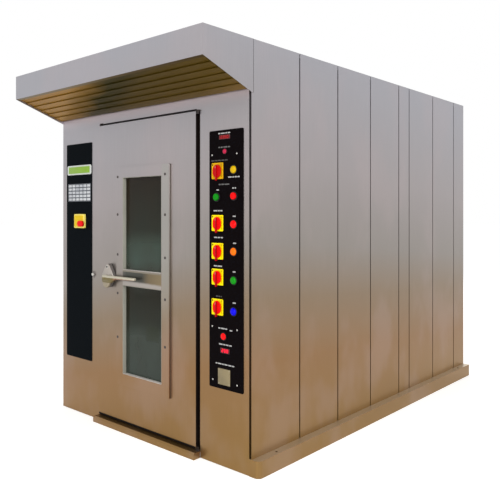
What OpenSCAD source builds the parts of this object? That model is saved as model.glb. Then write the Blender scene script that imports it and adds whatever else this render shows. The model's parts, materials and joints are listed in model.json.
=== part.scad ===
// Rotating rack oven: an insulated stainless cabinet with a hinged door, a canopy hood, a turning
// carrier for one trolley, and a fired heater with a circulating fan behind the baking chamber.
// Sizes are in millimetres. X runs along the front, Y from the hood to the rear and Z upwards. The
// origin lies on the floor under the middle of the whole oven, hood included.

/* [Cabinet] */
// Width of the front face to the left of the door leaf
left_w = 450; // [440:1:520]
// Width of the front face to the right of the door leaf
right_w = 414; // [405:1:480]
// Height of the front face above the door leaf
over_door = 339; // [325:1:420]
// Depth of the space behind the heater section, with the burner
rear_space = 330; // [300:5:420]
// Thickness of the casing's sheet
skin_t = 2; // [1.5:0.5:3]
// Width of the first side panel, at the front corner
first_panel_w = 418; // [380:1:450]
// Width of the joint panel between the chamber and the heater section
filler_w = 159; // [140:1:180]
// Width of the groove between two side panels
seam_gap = 10; // [6:1:14]
// Depth of the folded edge of a casing panel
panel_fold = 25; // [20:1:30]
// Width of the groove at the front corner
corner_groove = 17; // [12:1:22]

/* [Plinth] */
// Height of the side channels
plinth_h = 91; // [85:1:110]
// How far a side channel stands out from the side panels
plinth_out = 50; // [40:1:70]
// Thickness of the channels
channel_t = 5; // [4:0.5:8]
// Radius of the channels' outer front corner
corner_r = 30; // [20:1:38]
// Setback of the left channel behind the front face
left_setback = 45; // [20:1:80]
// Height of the low cross channels under the floor
cross_h = 34; // [30:1:38]
// Width of the low cross channels
cross_w = 60; // [40:1:80]
// Radius of the anchor holes
anchor_r = 7; // [5:0.5:9]
// Distance of the end anchor holes from the ends of the cabinet
anchor_inset = 175; // [120:5:260]

/* [Hood] */
// How far the hood stands out in front
hood_out = 358; // [300:1:420]
// Height of the hood's front face
fascia_h = 153; // [120:1:180]
// Drop of the underside from the front face to the cabinet
hood_drop = 130; // [100:1:150]
// How far the hood's cheeks lap over the side panels
cheek_lap = 12; // [8:1:20]
// Slats in the underside
slat_count = 6; // [4:1:8]
// How far a slat laps over the next one
slat_lap = 6; // [3:1:12]
// Tilt of a slat out of the underside
slat_tilt = 6; // [4:1:9]
// Radius of the hood's outlet collar
hood_outlet_r = 100; // [75:1:110]
// Height of the hood's outlet collar
hood_outlet_h = 50; // [40:1:60]

/* [Chamber] */
// Thickness of the side walls
side_wall = 150; // [130:1:170]
// Thickness of the roof
roof_wall = 150; // [130:1:160]
// Thickness of the front wall
front_wall = 120; // [116:1:140]
// Depth of the baking chamber behind the front wall
chamber_d = 1380; // [1340:1:1420]
// Depth of the heater section behind the chamber
heater_d = 917; // [900:1:930]
// Thickness of the inner lining
liner_t = 3; // [2:0.5:4]
// Width of the air duct on each side of the chamber
duct_w = 140; // [110:1:150]
// Thickness of the floor plate
floor_t = 4; // [3:0.5:6]
// Radius of the steam outlet
steam_r = 75; // [50:1:90]
// Height of the steam outlet and the flue above the roof
collar_h = 180; // [150:1:200]
// Rows of air slots in each duct wall
slot_rows = 14; // [8:1:18]
// Height of an air slot
slot_h = 26; // [16:1:34]

/* [Turning carrier] */
// Room between the turntable's rim and the duct walls
rim_gap = 70; // [50:1:120]
// Thickness of the turntable
table_t = 6; // [5:0.5:8]
// Running gap under the turntable
table_gap = 6; // [4:0.5:8]
// Radius of the pivot under the turntable
pivot_r = 20; // [15:0.5:25]
// Width between the two trolley guides, centre to centre
guide_span = 500; // [440:1:540]
// Height of a trolley guide
guide_h = 30; // [20:1:36]
// Side of the square tube of the uprights
tube_w = 40; // [30:1:50]
// Radius of the drive shaft
shaft_r = 25; // [20:0.5:30]
// Radial clearance of a shaft in its bore
run_gap = 0.05; // [0.02:0.01:0.09]

/* [Door] */
// Width of the door leaf
door_w = 936; // [900:1:950]
// Height of the door leaf
door_h = 1913; // [1850:1:1915]
// Bottom edge of the door leaf
door_low = 50; // [48:1:60]
// Thickness of the door leaf
door_t = 90; // [80:1:94]
// How far the leaf stands out of the front face
door_proud = 10; // [6:1:14]
// Gap at the top and at the handle side of the leaf
door_gap = 8; // [7:0.5:12]
// Gap at the hinge side of the leaf
hinge_gap = 26; // [24:1:30]
// Radius of the hinge pins
hinge_pin_r = 6; // [5:0.5:7]
// Width of each window
window_w = 377; // [350:1:400]
// Left edge of the windows
window_left = -172; // [-182:1:-160]
// Height of the lower window
window_low_h = 563; // [520:1:580]
// Height of the upper window
window_high_h = 586; // [540:1:600]
// Height of the rail between the windows
window_rail = 99; // [80:1:120]
// Bottom edge of the lower window
window_low = 362; // [340:1:380]
// Border of the raised window frame beside the windows
frame_border = 67; // [58:1:76]
// Thickness of a window pane
glass_t = 5; // [4:0.5:6]
// How far the outer panes are set back behind the door's front
glass_set = 12; // [8:1:16]

/* [Latch] */
// Height of the latch spindle
latch_z = 965; // [950:1:980]
// Position of the latch spindle along the front
latch_x = -315; // [-325:1:-307]
// Radius of the latch spindle
spindle_r = 8; // [6:0.5:9]
// Reach of the lever from the spindle
lever_len = 327; // [300:1:340]
// Height of the lever's bar at its root
lever_h = 22; // [19:1:26]
// Reach of the latch cam from the spindle
cam_len = 150; // [143:1:158]

/* [Control panels] */
// Distance of the control plate from the door leaf
plate_gap = 103; // [98:1:108]
// Width of the control plate
plate_w = 255; // [240:1:265]
// Bottom edge of the control plate above the door leaf's bottom edge
plate_rise = 374; // [340:1:390]
// Top edge of the control plate below the door leaf's top edge
plate_drop = 124; // [90:1:140]
// Distance of the side plate from the left edge of the front face
side_plate_inset = 51; // [44:1:58]
// Width of the side plate
side_plate_w = 306; // [304:1:316]
// Bottom edge of the side plate above the door leaf's bottom edge
side_plate_rise = 327; // [300:1:350]
// Top edge of the side plate below the door leaf's top edge
side_plate_drop = 98; // [90:1:120]
// Thickness of the two plates
plate_t = 3; // [2:0.5:4]
// Side of a selector switch's square plate
switch_w = 92; // [80:1:96]
// Radius of a lamp's or button's ring
ring_r = 26; // [24:0.5:28]
// Travel of a push button
button_travel = 5; // [3:0.5:6]

/* [Hidden] */
$fn = 48;

// Clearance left round what passes freely through a plate
pass_gap = 2;
// Gap between pieces that seat on each other across a joint
seat_gap = 0.3;
// Gap at a welded or butted joint between two plates of one assembly
weld_gap = 0.5;

// Overall layout: the door leaf and the walls round it give the cabinet its size
cab_w = left_w + door_w + right_w;
cab_h = door_low + door_h + over_door;
cab_d = front_wall + chamber_d + liner_t + heater_d + rear_space;
half_w = cab_w / 2;
front_y = hood_out - (cab_d + hood_out) / 2;
skin_x = half_w - skin_t;
fold_x = half_w - panel_fold;
corner_x = half_w - corner_groove - 1;
rail_x = half_w + plinth_out;
roof_low = cab_h - skin_t;
rear_out = 8;
rear_y = cab_d - rear_out;

// Side panel joints, measured back from the front face. The wide panels have one pitch beside the
// chamber, and two of them cover most of the heater section
section_y = front_wall + chamber_d + 100;
panel_w = (section_y - first_panel_w) / 3;
heater_y = section_y + filler_w;
heater_panel_w = round(0.3976 * (cab_d - heater_y));
panel_joints = [
    0, first_panel_w, first_panel_w + panel_w, first_panel_w + 2 * panel_w, section_y,
    heater_y, heater_y + heater_panel_w, heater_y + 2 * heater_panel_w, cab_d
];

// Hood
hood_low = cab_h - fascia_h - hood_drop;
cheek_t = 1.5;
hood_slope = atan2(hood_drop, hood_out);
hood_slant = sqrt(hood_out * hood_out + hood_drop * hood_drop);
hood_lip = 24;
slat_t = 2;
hood_outlet_x = -400;
hood_outlet_y = -130;
slat_bar_w = 20;
slat_bar_inset = 6;
slat_bar_z = 16;
slat_bar_h = 12;

// Chamber
liner_x = half_w - side_wall;
liner_top = cab_h - roof_wall;
floor_top = cross_h + floor_t;
bulkhead_y = front_wall + chamber_d;
liner_back = bulkhead_y + liner_t + heater_d;
duct_x = liner_x - duct_w;
louvre_low = 260;
louvre_room = 160;
table_y = front_wall + chamber_d / 2;
rear_wool = liner_back + liner_t + 77;
wool_top = roof_low - panel_fold;
steam_x = -450;
steam_y = 300;
flue_x = -200;
flue_y = liner_back - 110;
flue_r = 100;
pipe_t = 4;
spigot_low = 84;
spigot_t = 2;
damper_z = 50;
damper_r = 6;
damper_reach = 38;

// Turntable and carrier, with the uprights' outer corners on the rim
table_r = duct_x - rim_gap;
table_low = floor_top + table_gap;
table_top = table_low + table_t;
upright_x = guide_span / 2;
upright_y = sqrt(pow(table_r, 2) - pow(upright_x + tube_w / 2, 2)) - tube_w / 2;
arm_low = liner_top - 92;
hub_r = 45;
gear_top = cab_h + 130;

// Door
door_left = left_w - half_w;
door_right = door_left + door_w;
door_top = door_low + door_h;
door_back = door_t - door_proud;
open_left = door_left - door_gap;
open_right = door_right + hinge_gap;
open_top = door_top + door_gap;
stop_lap = 17;
stop_y = door_back + 5;
stop_t = 4;
jamb_t = 4;
stop_left = door_left + stop_lap;
stop_right = door_right - stop_lap;
stop_top = door_top - stop_lap;
hinge_x = door_right + hinge_gap / 2;
hinge_y = -4;
lug_r = 11;
lug_h = 16;
sill_out = 50;
sill_top = floor_top;
skin_back = 20;
rebate = 12;
boss_r = 24;
window_right = window_left + window_w;
window_rail_low = window_low + window_low_h;
window_rail_high = window_rail_low + window_rail;
window_high = window_rail_high + window_high_h;
frame_t = 14;
glass_y = glass_set - door_proud;
cam_y = stop_y + stop_t + 3;
cam_t = 8;
cam_r = 13;
base_w = 120;
base_h = 154;
base_t = 26;
base_rise = 13;
lobe_r = 24;
hub_t = 8;
lever_y = -door_proud - base_t - hub_t - seat_gap;
lever_t = 22;
lever_top = 18;

// Control plate: what it carries lies at shares of its width and height
plate_left = door_right + plate_gap;
plate_low = door_low + plate_rise;
plate_h = door_top - plate_drop - plate_low;
function on_plate(x, z) = [plate_left + round(x * plate_w), plate_low + round(z * plate_h)];
switches = [for (z = [0.8431, 0.6403, 0.5314, 0.4311, 0.3145]) on_plate(0.25, z)];
lamps = [for (z = [0.8445, 0.6367, 0.5329, 0.4233, 0.3053]) on_plate(0.733, z)];
start_at = on_plate(0.231, 0.7413);
stop_at = on_plate(0.741, 0.7442);
small_lamps = [on_plate(0.48, 0.9166), on_plate(0.4392, 0.2042)];
display_places = [on_plate(0.459, 0.9724), on_plate(0.4706, 0.1491)];
display_sizes = [[82, 24], [68, 28]];
label_at = on_plate(0.4412, 0.0473);
label_size = [91, 88];
small_ring_r = 17;
switch_t = 4;
ring_t = 6;
button_r = ring_r - 7;
neck_r = 10;
knob_r = 31;
knob_t = 6;
ridge_r = 8;
ridge_t = 12;

// Side plate and what is built into it
side_plate_left = side_plate_inset - half_w;
side_plate_low = door_low + side_plate_rise;
side_plate_h = door_top - side_plate_drop - side_plate_low;
function on_side_plate(x, z) = [side_plate_left + x, side_plate_low + round(z * side_plate_h)];
unit_at = on_side_plate(17, 0.8548);
unit_size = [286, 66];
unit_t = 6;
screen_inset = [15, 10];
note_at = on_side_plate(20, 0.7305);
note_size = [274, 123];
box_at = on_side_plate(113, 0.6069);
box_size = [137, 97];
box_rim = 10;
box_step = 14;
box_depth = 18;
box_button_at = box_at + [97, 31];
stem_r = 14;
head_r = 19;
head_reach = 14;
keeper_x = side_plate_left + side_plate_w + 21;
keeper_z = latch_z + 5;

// Heater section
drum_r = 230;
drum_z = 410;
drum_y0 = bulkhead_y + 120;
header_w = 600;
header_low = drum_z + drum_r + 50;
header_h = 560;
header_d = 80;
rear_header_d = 200;
header_y1 = liner_back - 10 - rear_header_d;
heater_tube_r = 30;
deck_z = liner_top - 272;
fan_y = bulkhead_y + liner_t + 0.433 * heater_d;
fan_r = 300;
fan_h = 150;
fan_low = deck_z + 46;
fan_eye_r = 200;
fan_shaft_r = 19;
motor_r = 130;
motor_h = 280;
blast_r = 55;
cascade_x = liner_x - 300;
pipe_x = cascade_x + 125;
pipe_z = 1150;
pipe_r = 10.5;
hatch_x = 350;
hatch_top = 1160;
gland_x = -575;
gland_z = 1900;
gland_r = 22;

// A box between two corners
module block(lo, hi) {
    translate(lo) cube(hi - lo);
}

// A rectangle between two corners
module rect(lo, hi) {
    translate(lo) square(hi - lo);
}

// A rectangle with round corners between two corners
module round_rect(lo, hi, r) {
    rect(lo + [r, 0], hi - [r, 0]);
    rect(lo + [0, r], hi - [0, r]);
    for (x = [lo[0] + r, hi[0] - r], y = [lo[1] + r, hi[1] - r])
        translate([x, y]) circle(r);
}

// An outline seen from the front, from depth y0 to depth y1
module from_front(y0, y1) {
    translate([0, y1, 0]) rotate([90, 0, 0]) linear_extrude(y1 - y0) children();
}

// A profile seen from the side, drawn as depth and height, from x0 to x1
module from_side(x0, x1) {
    translate([x0, 0, 0]) rotate([90, 0, 90]) linear_extrude(x1 - x0) children();
}

// A round bar or bore along Y
module rod_y(x, z, y0, y1, r) {
    translate([x, y1, z]) rotate([90, 0, 0]) cylinder(h = y1 - y0, r = r);
}

// A round bar or bore along Z
module rod_z(x, y, z0, z1, r) {
    translate([x, y, z0]) cylinder(h = z1 - z0, r = r);
}

// Puts pieces measured back from the front face into the oven's frame
module in_frame() {
    translate([0, front_y, 0]) children();
}

// Both sides of what is drawn on the right
module both_sides() {
    children();
    mirror([1, 0, 0]) children();
}

// Plan of a side channel with its rounded outer front corner, from depth y0
module channel_plan(y0, inset) {
    x0 = corner_x - (inset > 0 ? 1 : 0);
    x1 = rail_x - inset;
    r = corner_r - inset;
    rect([x0, y0 + inset + r], [x1, cab_d - inset]);
    rect([x0, y0 + inset], [x1 - r, cab_d - inset]);
    translate([x1 - r, y0 + inset + r]) circle(r);
}

module side_channel(y0) {
    difference() {
        linear_extrude(plinth_h) channel_plan(y0, 0);
        translate([0, 0, channel_t])
            linear_extrude(plinth_h - 2 * channel_t) channel_plan(y0, channel_t);
        for (y = [anchor_inset, cab_d - anchor_inset])
            rod_z(half_w + plinth_out / 2, y, -1, plinth_h + 1, anchor_r);
    }
}

module base_frame() {
    color("#9a7c56") in_frame() {
        side_channel(0);
        mirror([1, 0, 0]) side_channel(left_setback);
        for (y = [stop_y + stop_t, bulkhead_y - cross_w / 2])
            cross_channel(y, cross_h);
        cross_channel(liner_back - cross_w, cross_h);
        cross_channel(cab_d - cross_w, plinth_h);
    }
}

// A cross channel, open underneath, between the side channels
module cross_channel(y, h) {
    from_side(-corner_x + weld_gap, corner_x - weld_gap)
        difference() {
            rect([y, 0], [y + cross_w, h]);
            rect([y + channel_t, -1], [y + cross_w - channel_t, h - channel_t]);
        }
}

module door_sill() {
    color("#a08258") in_frame() from_side(open_left, open_right) difference() {
        polygon([
            [-sill_out, 0], [-sill_out, sill_top - 10], [-sill_out + 10, sill_top],
            [stop_y + stop_t, sill_top], [stop_y + stop_t, 0]
        ]);
        polygon([
            [-sill_out + floor_t, -1], [-sill_out + floor_t, sill_top - 12],
            [-sill_out + 12, sill_top - floor_t], [stop_y, sill_top - floor_t], [stop_y, -1]
        ]);
    }
}

module chamber_floor() {
    color("#8f8b84") in_frame() difference() {
        block([-corner_x, stop_y + stop_t, cross_h], [corner_x, liner_back, floor_top]);
        rod_z(0, table_y, 0, floor_top + 1, hub_r + 0.5);
    }
}

// Doorway seen from the front, widened by grow
module doorway(grow) {
    rect([stop_left - grow, floor_top - 1], [stop_right + grow, stop_top + grow]);
}

module liner_walls() {
    color("#a5a39e") in_frame() {
        both_sides() block([liner_x, front_wall - liner_t, floor_top],
            [liner_x + liner_t, liner_back + liner_t, liner_top]);
        from_front(front_wall - liner_t, front_wall) difference() {
            rect([-liner_x + weld_gap, floor_top], [liner_x - weld_gap, liner_top]);
            doorway(0);
        }
        difference() {
            block([-liner_x + weld_gap, liner_back, floor_top],
                [liner_x - weld_gap, liner_back + liner_t, liner_top]);
            rod_y(0, drum_z, liner_back - 1, liner_back + liner_t + 1, blast_r + pass_gap);
            rod_y(pipe_x, pipe_z, liner_back - 1, liner_back + liner_t + 1, pipe_r + pass_gap);
        }
    }
}

// Everything that passes up through the chamber's roof, with room all round
module roof_holes(z0, z1, gap) {
    rod_z(0, table_y, z0, z1, shaft_r + gap);
    rod_z(0, fan_y, z0, z1, fan_shaft_r + gap);
    rod_z(flue_x, flue_y, z0, z1, flue_r + gap);
    rod_z(steam_x, steam_y, z0, z1, steam_r + gap);
}

module liner_roof() {
    color("#a5a39e") in_frame() difference() {
        block([-liner_x - liner_t, front_wall - liner_t, liner_top],
            [liner_x + liner_t, liner_back + liner_t, liner_top + liner_t]);
        roof_holes(liner_top - 1, liner_top + liner_t + 1, pass_gap);
    }
}

// Wall between the chamber and the heater section, open into the two ducts
module bulkhead() {
    color("#99968f") in_frame() from_front(bulkhead_y, bulkhead_y + liner_t) difference() {
        rect([-liner_x, floor_top], [liner_x, liner_top]);
        rect([-liner_x + 20, deck_z + 30], [-duct_x - 20, liner_top - 20]);
        rect([duct_x + 20, floor_top + 120], [liner_x - 20, deck_z - 400]);
    }
}

// Duct wall beside the turntable, with columns of slots under pressed louvre blades
module duct_wall(low, high) {
    pitch = (high - low) / slot_rows;
    slot_len = 300;
    blade = 16;
    columns = [table_y - 360, table_y, table_y + 360];
    difference() {
        block([duct_x, front_wall, floor_top], [duct_x + skin_t, bulkhead_y, liner_top]);
        for (y = columns, row = [0 : slot_rows - 1])
            block([duct_x - 1, y - slot_len / 2, low + row * pitch],
                [duct_x + skin_t + 1, y + slot_len / 2, low + row * pitch + slot_h]);
    }
    for (y = columns, row = [0 : slot_rows - 1])
        translate([0, y + slot_len / 2, low + row * pitch + slot_h])
            rotate([90, 0, 0]) linear_extrude(slot_len) polygon([
                [duct_x + skin_t / 2, 0], [duct_x + skin_t / 2, skin_t],
                [duct_x - blade, skin_t - blade / 2], [duct_x - blade, -blade / 2]
            ]);
}

module supply_duct() {
    color("#aeaca6") in_frame() mirror([1, 0, 0]) duct_wall(louvre_low, liner_top - louvre_room);
}

module return_duct() {
    color("#aeaca6") in_frame() duct_wall(louvre_low, liner_top - louvre_room);
}

// Room behind the two control plates and the latch slot, cut out of the wool
module front_pockets() {
    block([plate_left + 20, -1, plate_low + 20],
        [plate_left + plate_w - 20, 70, plate_low + plate_h - 20]);
    block([unit_at[0] + 4, -1, unit_at[1] - 12],
        [unit_at[0] + unit_size[0] - 4, 66, unit_at[1] + unit_size[1] + 12]);
    latch_slot();
}

module latch_slot() {
    block([latch_x - cam_len - cam_r - 6, cam_y - 2, latch_z - cam_len - cam_r + 6],
        [stop_left + 1, cam_y + cam_t + 4, latch_z + 2 * cam_r]);
}

module insulation() {
    color("#d8cf9a") in_frame() {
        // Side walls
        for (side = [-1, 1]) difference() {
            x = side > 0 ? liner_x + liner_t : -fold_x;
            block([x, skin_t, floor_top], [x + fold_x - liner_x - liner_t, rear_wool, wool_top]);
            front_pockets();
        }
        // Front wall
        difference() {
            block([-liner_x - liner_t, skin_t, floor_top],
                [liner_x + liner_t, front_wall - liner_t, liner_top + liner_t]);
            translate([0, skin_t - 1, 0]) block([open_left - jamb_t, 0, 0],
                [open_right + jamb_t, front_wall, open_top + jamb_t]);
            front_pockets();
        }
        // Roof
        difference() {
            block([-liner_x - liner_t, skin_t, liner_top + liner_t],
                [liner_x + liner_t, rear_wool, wool_top]);
            roof_holes(liner_top, wool_top + 1, 12);
        }
        // Rear wall
        difference() {
            block([-liner_x - liner_t, liner_back + liner_t, floor_top],
                [liner_x + liner_t, rear_wool, liner_top + liner_t]);
            rod_y(0, drum_z, liner_back, rear_wool + 1, blast_r + 8);
            rod_y(pipe_x, pipe_z, liner_back, rear_wool + 1, pipe_r + 8);
        }
    }
}

// Drum in which the flame burns, on two saddles, with a neck for the burner and a duct to the tubes
module combustion_chamber() {
    color("#7d746b") in_frame() {
        difference() {
            union() {
                rod_y(0, drum_z, drum_y0, liner_back - 60, drum_r);
                rod_y(0, drum_z, liner_back - 61, liner_back, blast_r + 25);
                block([-120, drum_y0, drum_z], [120, drum_y0 + header_d, header_low]);
            }
            rod_y(0, drum_z, drum_y0 + pipe_t, liner_back - 60 - pipe_t, drum_r - pipe_t);
            rod_y(0, drum_z, liner_back - 80, liner_back + 1, blast_r + pass_gap);
            block([-120 + pipe_t, drum_y0 + pipe_t, drum_z],
                [120 - pipe_t, drum_y0 + header_d - pipe_t, header_low + 1]);
        }
        for (y = [drum_y0 + 110, liner_back - 200]) difference() {
            block([-160, y, floor_top], [160, y + 40, drum_z - 60]);
            rod_y(0, drum_z, y - 1, y + 41, drum_r);
        }
    }
}

// Two header boxes joined by the tubes that the circulating air is blown past
module heat_exchanger() {
    columns = 5;
    rows = 4;
    pitch_x = header_w / columns;
    pitch_z = header_h / rows;
    color("#8a8178") in_frame() {
        difference() {
            union() {
                block([-header_w / 2, drum_y0, header_low],
                    [header_w / 2, drum_y0 + header_d, header_low + header_h]);
                block([-header_w / 2, header_y1, header_low],
                    [header_w / 2, header_y1 + rear_header_d, header_low + header_h]);
            }
            block([-header_w / 2 + pipe_t, drum_y0 + pipe_t, header_low + pipe_t],
                [header_w / 2 - pipe_t, drum_y0 + header_d - pipe_t, header_low + header_h - pipe_t]);
            block([-header_w / 2 + pipe_t, header_y1 + pipe_t, header_low + pipe_t],
                [header_w / 2 - pipe_t, header_y1 + rear_header_d - pipe_t,
                    header_low + header_h - pipe_t]);
            block([-120 + pipe_t, drum_y0 + pipe_t, header_low - 1],
                [120 - pipe_t, drum_y0 + header_d - pipe_t, header_low + pipe_t + 1]);
            rod_z(flue_x, flue_y, header_low + header_h - pipe_t - 1, header_low + header_h + 1,
                flue_r - pipe_t);
        }
        for (column = [0 : columns - 1], row = [0 : rows - 1]) {
            x = (column + 0.5) * pitch_x - header_w / 2;
            z = header_low + (row + 0.5) * pitch_z;
            difference() {
                rod_y(x, z, drum_y0 + header_d, header_y1, heater_tube_r);
                rod_y(x, z, drum_y0 + header_d - 1, header_y1 + 1, heater_tube_r - 2.5);
            }
        }
    }
}

// Pressure-jet burner: flange, blast tube, fan casing and motor
module burner() {
    flange = 110;
    flange_t = 12;
    bolt_at = 85;
    case_low = [-125, drum_z - 90];
    case_high = [95, drum_z + 130];
    case_r = 40;
    case_y = rear_wool + flange_t;
    case_d = 178;
    motor_x = 156;
    blower_r = 62;
    color("#b3402c") in_frame() {
        difference() {
            rod_y(0, drum_z, liner_back - 100, case_y + 8, blast_r);
            rod_y(0, drum_z, liner_back - 101, rear_wool, blast_r - pipe_t);
        }
        from_front(rear_wool, case_y) difference() {
            round_rect([-flange, drum_z - flange], [flange, drum_z + flange], 18);
            for (x = [-bolt_at, bolt_at], z = [-bolt_at, bolt_at]) translate([x, drum_z + z]) circle(6);
        }
        difference() {
            from_front(case_y, case_y + case_d) round_rect(case_low, case_high, case_r);
            from_front(case_y + pipe_t, case_y + case_d - pipe_t)
                round_rect(case_low + [pipe_t, pipe_t], case_high - [pipe_t, pipe_t], case_r - pipe_t);
        }
        rod_y(motor_x, drum_z + 30, case_y + 28, case_y + case_d - 20, blower_r);
    }
}

module flue_stack() {
    color("#9b9893") in_frame() {
        difference() {
            union() {
                rod_z(flue_x, flue_y, header_low + header_h, cab_h + spigot_low, flue_r);
                rod_z(flue_x, flue_y, cab_h + spigot_low - 1, cab_h + collar_h, flue_r - spigot_t);
            }
            rod_z(flue_x, flue_y, header_low + header_h - 1, cab_h + collar_h + 1, flue_r - pipe_t);
            translate([flue_x - flue_r - 1, flue_y, cab_h + damper_z]) rotate([0, 90, 0])
                cylinder(h = 2 * flue_r + 2, r = damper_r + run_gap);
        }
    }
}

// Plate with the inlet eye that parts the heater space from the blown plenum
module fan_deck() {
    color("#99968f") in_frame() {
        difference() {
            block([-liner_x, bulkhead_y + liner_t, deck_z], [liner_x, liner_back, deck_z + liner_t]);
            rod_z(0, fan_y, deck_z - 1, deck_z + liner_t + 1, fan_eye_r + 20);
            rod_z(flue_x, flue_y, deck_z - 1, deck_z + liner_t + 1, flue_r + pass_gap);
        }
        translate([0, fan_y, deck_z]) rotate_extrude() polygon([
            [fan_eye_r + 20, 0], [fan_eye_r + 20, liner_t], [fan_eye_r - 17, 36],
            [fan_eye_r - 20, 36], [fan_eye_r + 16, 0]
        ]);
    }
}

// Backward-curved blower wheel with its shaft
module fan_wheel() {
    blades = 10;
    color("#8d8f92") in_frame() translate([0, fan_y, fan_low]) {
        difference() {
            cylinder(h = 4, r = fan_r);
            translate([0, 0, -1]) cylinder(h = 6, r = fan_eye_r);
        }
        translate([0, 0, fan_h]) cylinder(h = 4, r = fan_r);
        translate([0, 0, fan_h - 40]) cylinder(h = 40, r = 42);
        translate([0, 0, fan_h + 4]) cylinder(h = cab_h + 110 - fan_low - fan_h - 4, r = fan_shaft_r);
        for (i = [0 : blades - 1]) rotate(i * 360 / blades)
            translate([0, 0, 4]) linear_extrude(fan_h - 4) fan_blade();
    }
}

// One blade's arc, from the eye to the rim
module fan_blade() {
    bend = 190;
    intersection() {
        translate([150, -60]) difference() {
            circle(bend);
            circle(bend - 3);
        }
        difference() {
            circle(fan_r - 2);
            circle(fan_eye_r - 40);
        }
        rect([0, 0], [fan_r, fan_r]);
    }
}

module fan_motor() {
    fins = 16;
    color("#4f6f86") in_frame() translate([0, fan_y, cab_h]) difference() {
        union() {
            linear_extrude(10) round_rect([-170, -170], [170, 170], 20);
            translate([0, 0, 9]) cylinder(h = motor_h - 9, r = motor_r - 14);
            translate([0, 0, 9]) cylinder(h = 22, r = motor_r);
            translate([0, 0, motor_h - 60]) cylinder(h = 60, r = motor_r - 4);
            for (i = [0 : fins - 1]) rotate(i * 360 / fins)
                block([motor_r - 20, -2, 20], [motor_r - 2, 2, motor_h - 40]);
            block([-60, motor_r - 30, 70], [60, motor_r + 30, 170]);
        }
        translate([0, 0, -1]) cylinder(h = 121, r = fan_shaft_r + run_gap);
    }
}

// Stack of water channels that turns water to steam, with its feed pipe to the rear
module steam_cascade() {
    trays = 9;
    low = 240;
    step = 95;
    depth = 190;
    width = 240;
    y0 = bulkhead_y + liner_t + 40;
    color("#6f6a64") in_frame() {
        for (x = [cascade_x, cascade_x + width - 8], y = [y0, y0 + depth - 8])
            block([x, y, floor_top], [x + 8, y + 8, low + trays * step]);
        for (i = [0 : trays - 1]) difference() {
            block([cascade_x, y0, low + i * step], [cascade_x + width, y0 + depth, low + i * step + 36]);
            block([cascade_x + 6, y0 + 6, low + i * step + 6],
                [cascade_x + width - 6, y0 + depth - 6, low + i * step + 37]);
        }
        difference() {
            union() {
                rod_y(pipe_x, pipe_z, y0 + depth / 2, cab_d, pipe_r);
                rod_y(pipe_x, pipe_z, rear_y, rear_y + 4, pipe_r + 7);
            }
            rod_y(pipe_x, pipe_z, y0 + depth / 2 + 12, cab_d + 1, pipe_r - 2.5);
            rod_z(pipe_x, y0 + depth / 2 + 20, pipe_z - 30, pipe_z, 4);
        }
    }
}

// Worm gear unit with its motor, standing on the roof over the carrier's shaft
module gearmotor() {
    color("#3d6b8c") in_frame() translate([0, table_y, cab_h]) difference() {
        union() {
            linear_extrude(8) round_rect([-130, -130], [130, 130], 16);
            block([-90, -80, 8], [90, 80, gear_top - cab_h]);
            translate([0, 0, gear_top - cab_h - 1]) cylinder(h = 9, r = 50);
            translate([-360, 0, 75]) rotate([0, 90, 0]) cylinder(h = 271, r = 64);
            translate([-110, 0, 75]) rotate([0, 90, 0]) cylinder(h = 22, r = 66);
            block([-280, -110, 40], [-180, -50, 110]);
        }
        translate([0, 0, -1]) cylinder(h = gear_top - cab_h + 20, r = shaft_r + run_gap);
    }
}

// Blind bearing under the turntable's pivot
module pivot_bearing() {
    color("#6d7074") in_frame() difference() {
        union() {
            rod_z(0, table_y, cross_h - 30, table_low - seat_gap, hub_r);
            rod_z(0, table_y, cross_h - 8, cross_h, hub_r + 30);
        }
        rod_z(0, table_y, cross_h - 24, table_low, pivot_r + run_gap);
    }
}

module turntable() {
    guide_w = 60;
    guide_t = 4;
    guide_front = -table_r + 130;
    guide_back = upright_y - tube_w / 2 - 30;
    color("#a9a7a2") in_frame() translate([0, table_y, 0]) {
        translate([0, 0, table_low]) cylinder(h = table_t, r = table_r);
        translate([0, 0, cross_h - 22]) cylinder(h = table_low - cross_h + 22, r = pivot_r);
        both_sides() for (x = [upright_x - guide_w / 2, upright_x + guide_w / 2 - guide_t])
            block([x, guide_front, table_top], [x + guide_t, guide_back, table_top + guide_h]);
        block([-upright_x - guide_w / 2, guide_back, table_top],
            [upright_x + guide_w / 2, guide_back + guide_t, table_top + guide_h]);
    }
}

// Uprights and top arm that turn the table from the drive shaft
module carrier_frame() {
    half = tube_w / 2;
    color("#b4b2ad") in_frame() translate([0, table_y, 0]) {
        both_sides() block([upright_x - half, upright_y - half, table_top],
            [upright_x + half, upright_y + half, arm_low]);
        block([-upright_x - half, upright_y - half, arm_low],
            [upright_x + half, upright_y + half, arm_low + tube_w]);
        block([-half, 0, arm_low], [half, upright_y - half, arm_low + tube_w]);
        from_side(-3, 3) translate([0, arm_low])
            polygon([[0, -70], [0, 1], [230, 1], [60, -70]]);
        translate([0, 0, arm_low - 70]) cylinder(h = tube_w + 80, r = hub_r);
        translate([0, 0, arm_low]) cylinder(h = gear_top + 4 - arm_low, r = shaft_r);
    }
}

// Butterfly plate on its spindle, with the lever outside the flue
module flue_damper() {
    lever_x = flue_r + damper_reach;
    color("#8d8f92") in_frame() translate([flue_x, flue_y, cab_h + damper_z]) {
        translate([-lever_x, 0, 0]) rotate([0, 90, 0])
            cylinder(h = lever_x + flue_r + 10, r = damper_r);
        rotate([90, 0, 0]) translate([0, 0, -1.5]) cylinder(h = 3, r = flue_r - pipe_t - 2);
        from_side(-lever_x, 6 - lever_x) {
            circle(14);
            rect([-8, 0], [8, 90]);
            translate([0, 90]) circle(14);
        }
    }
}

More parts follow.
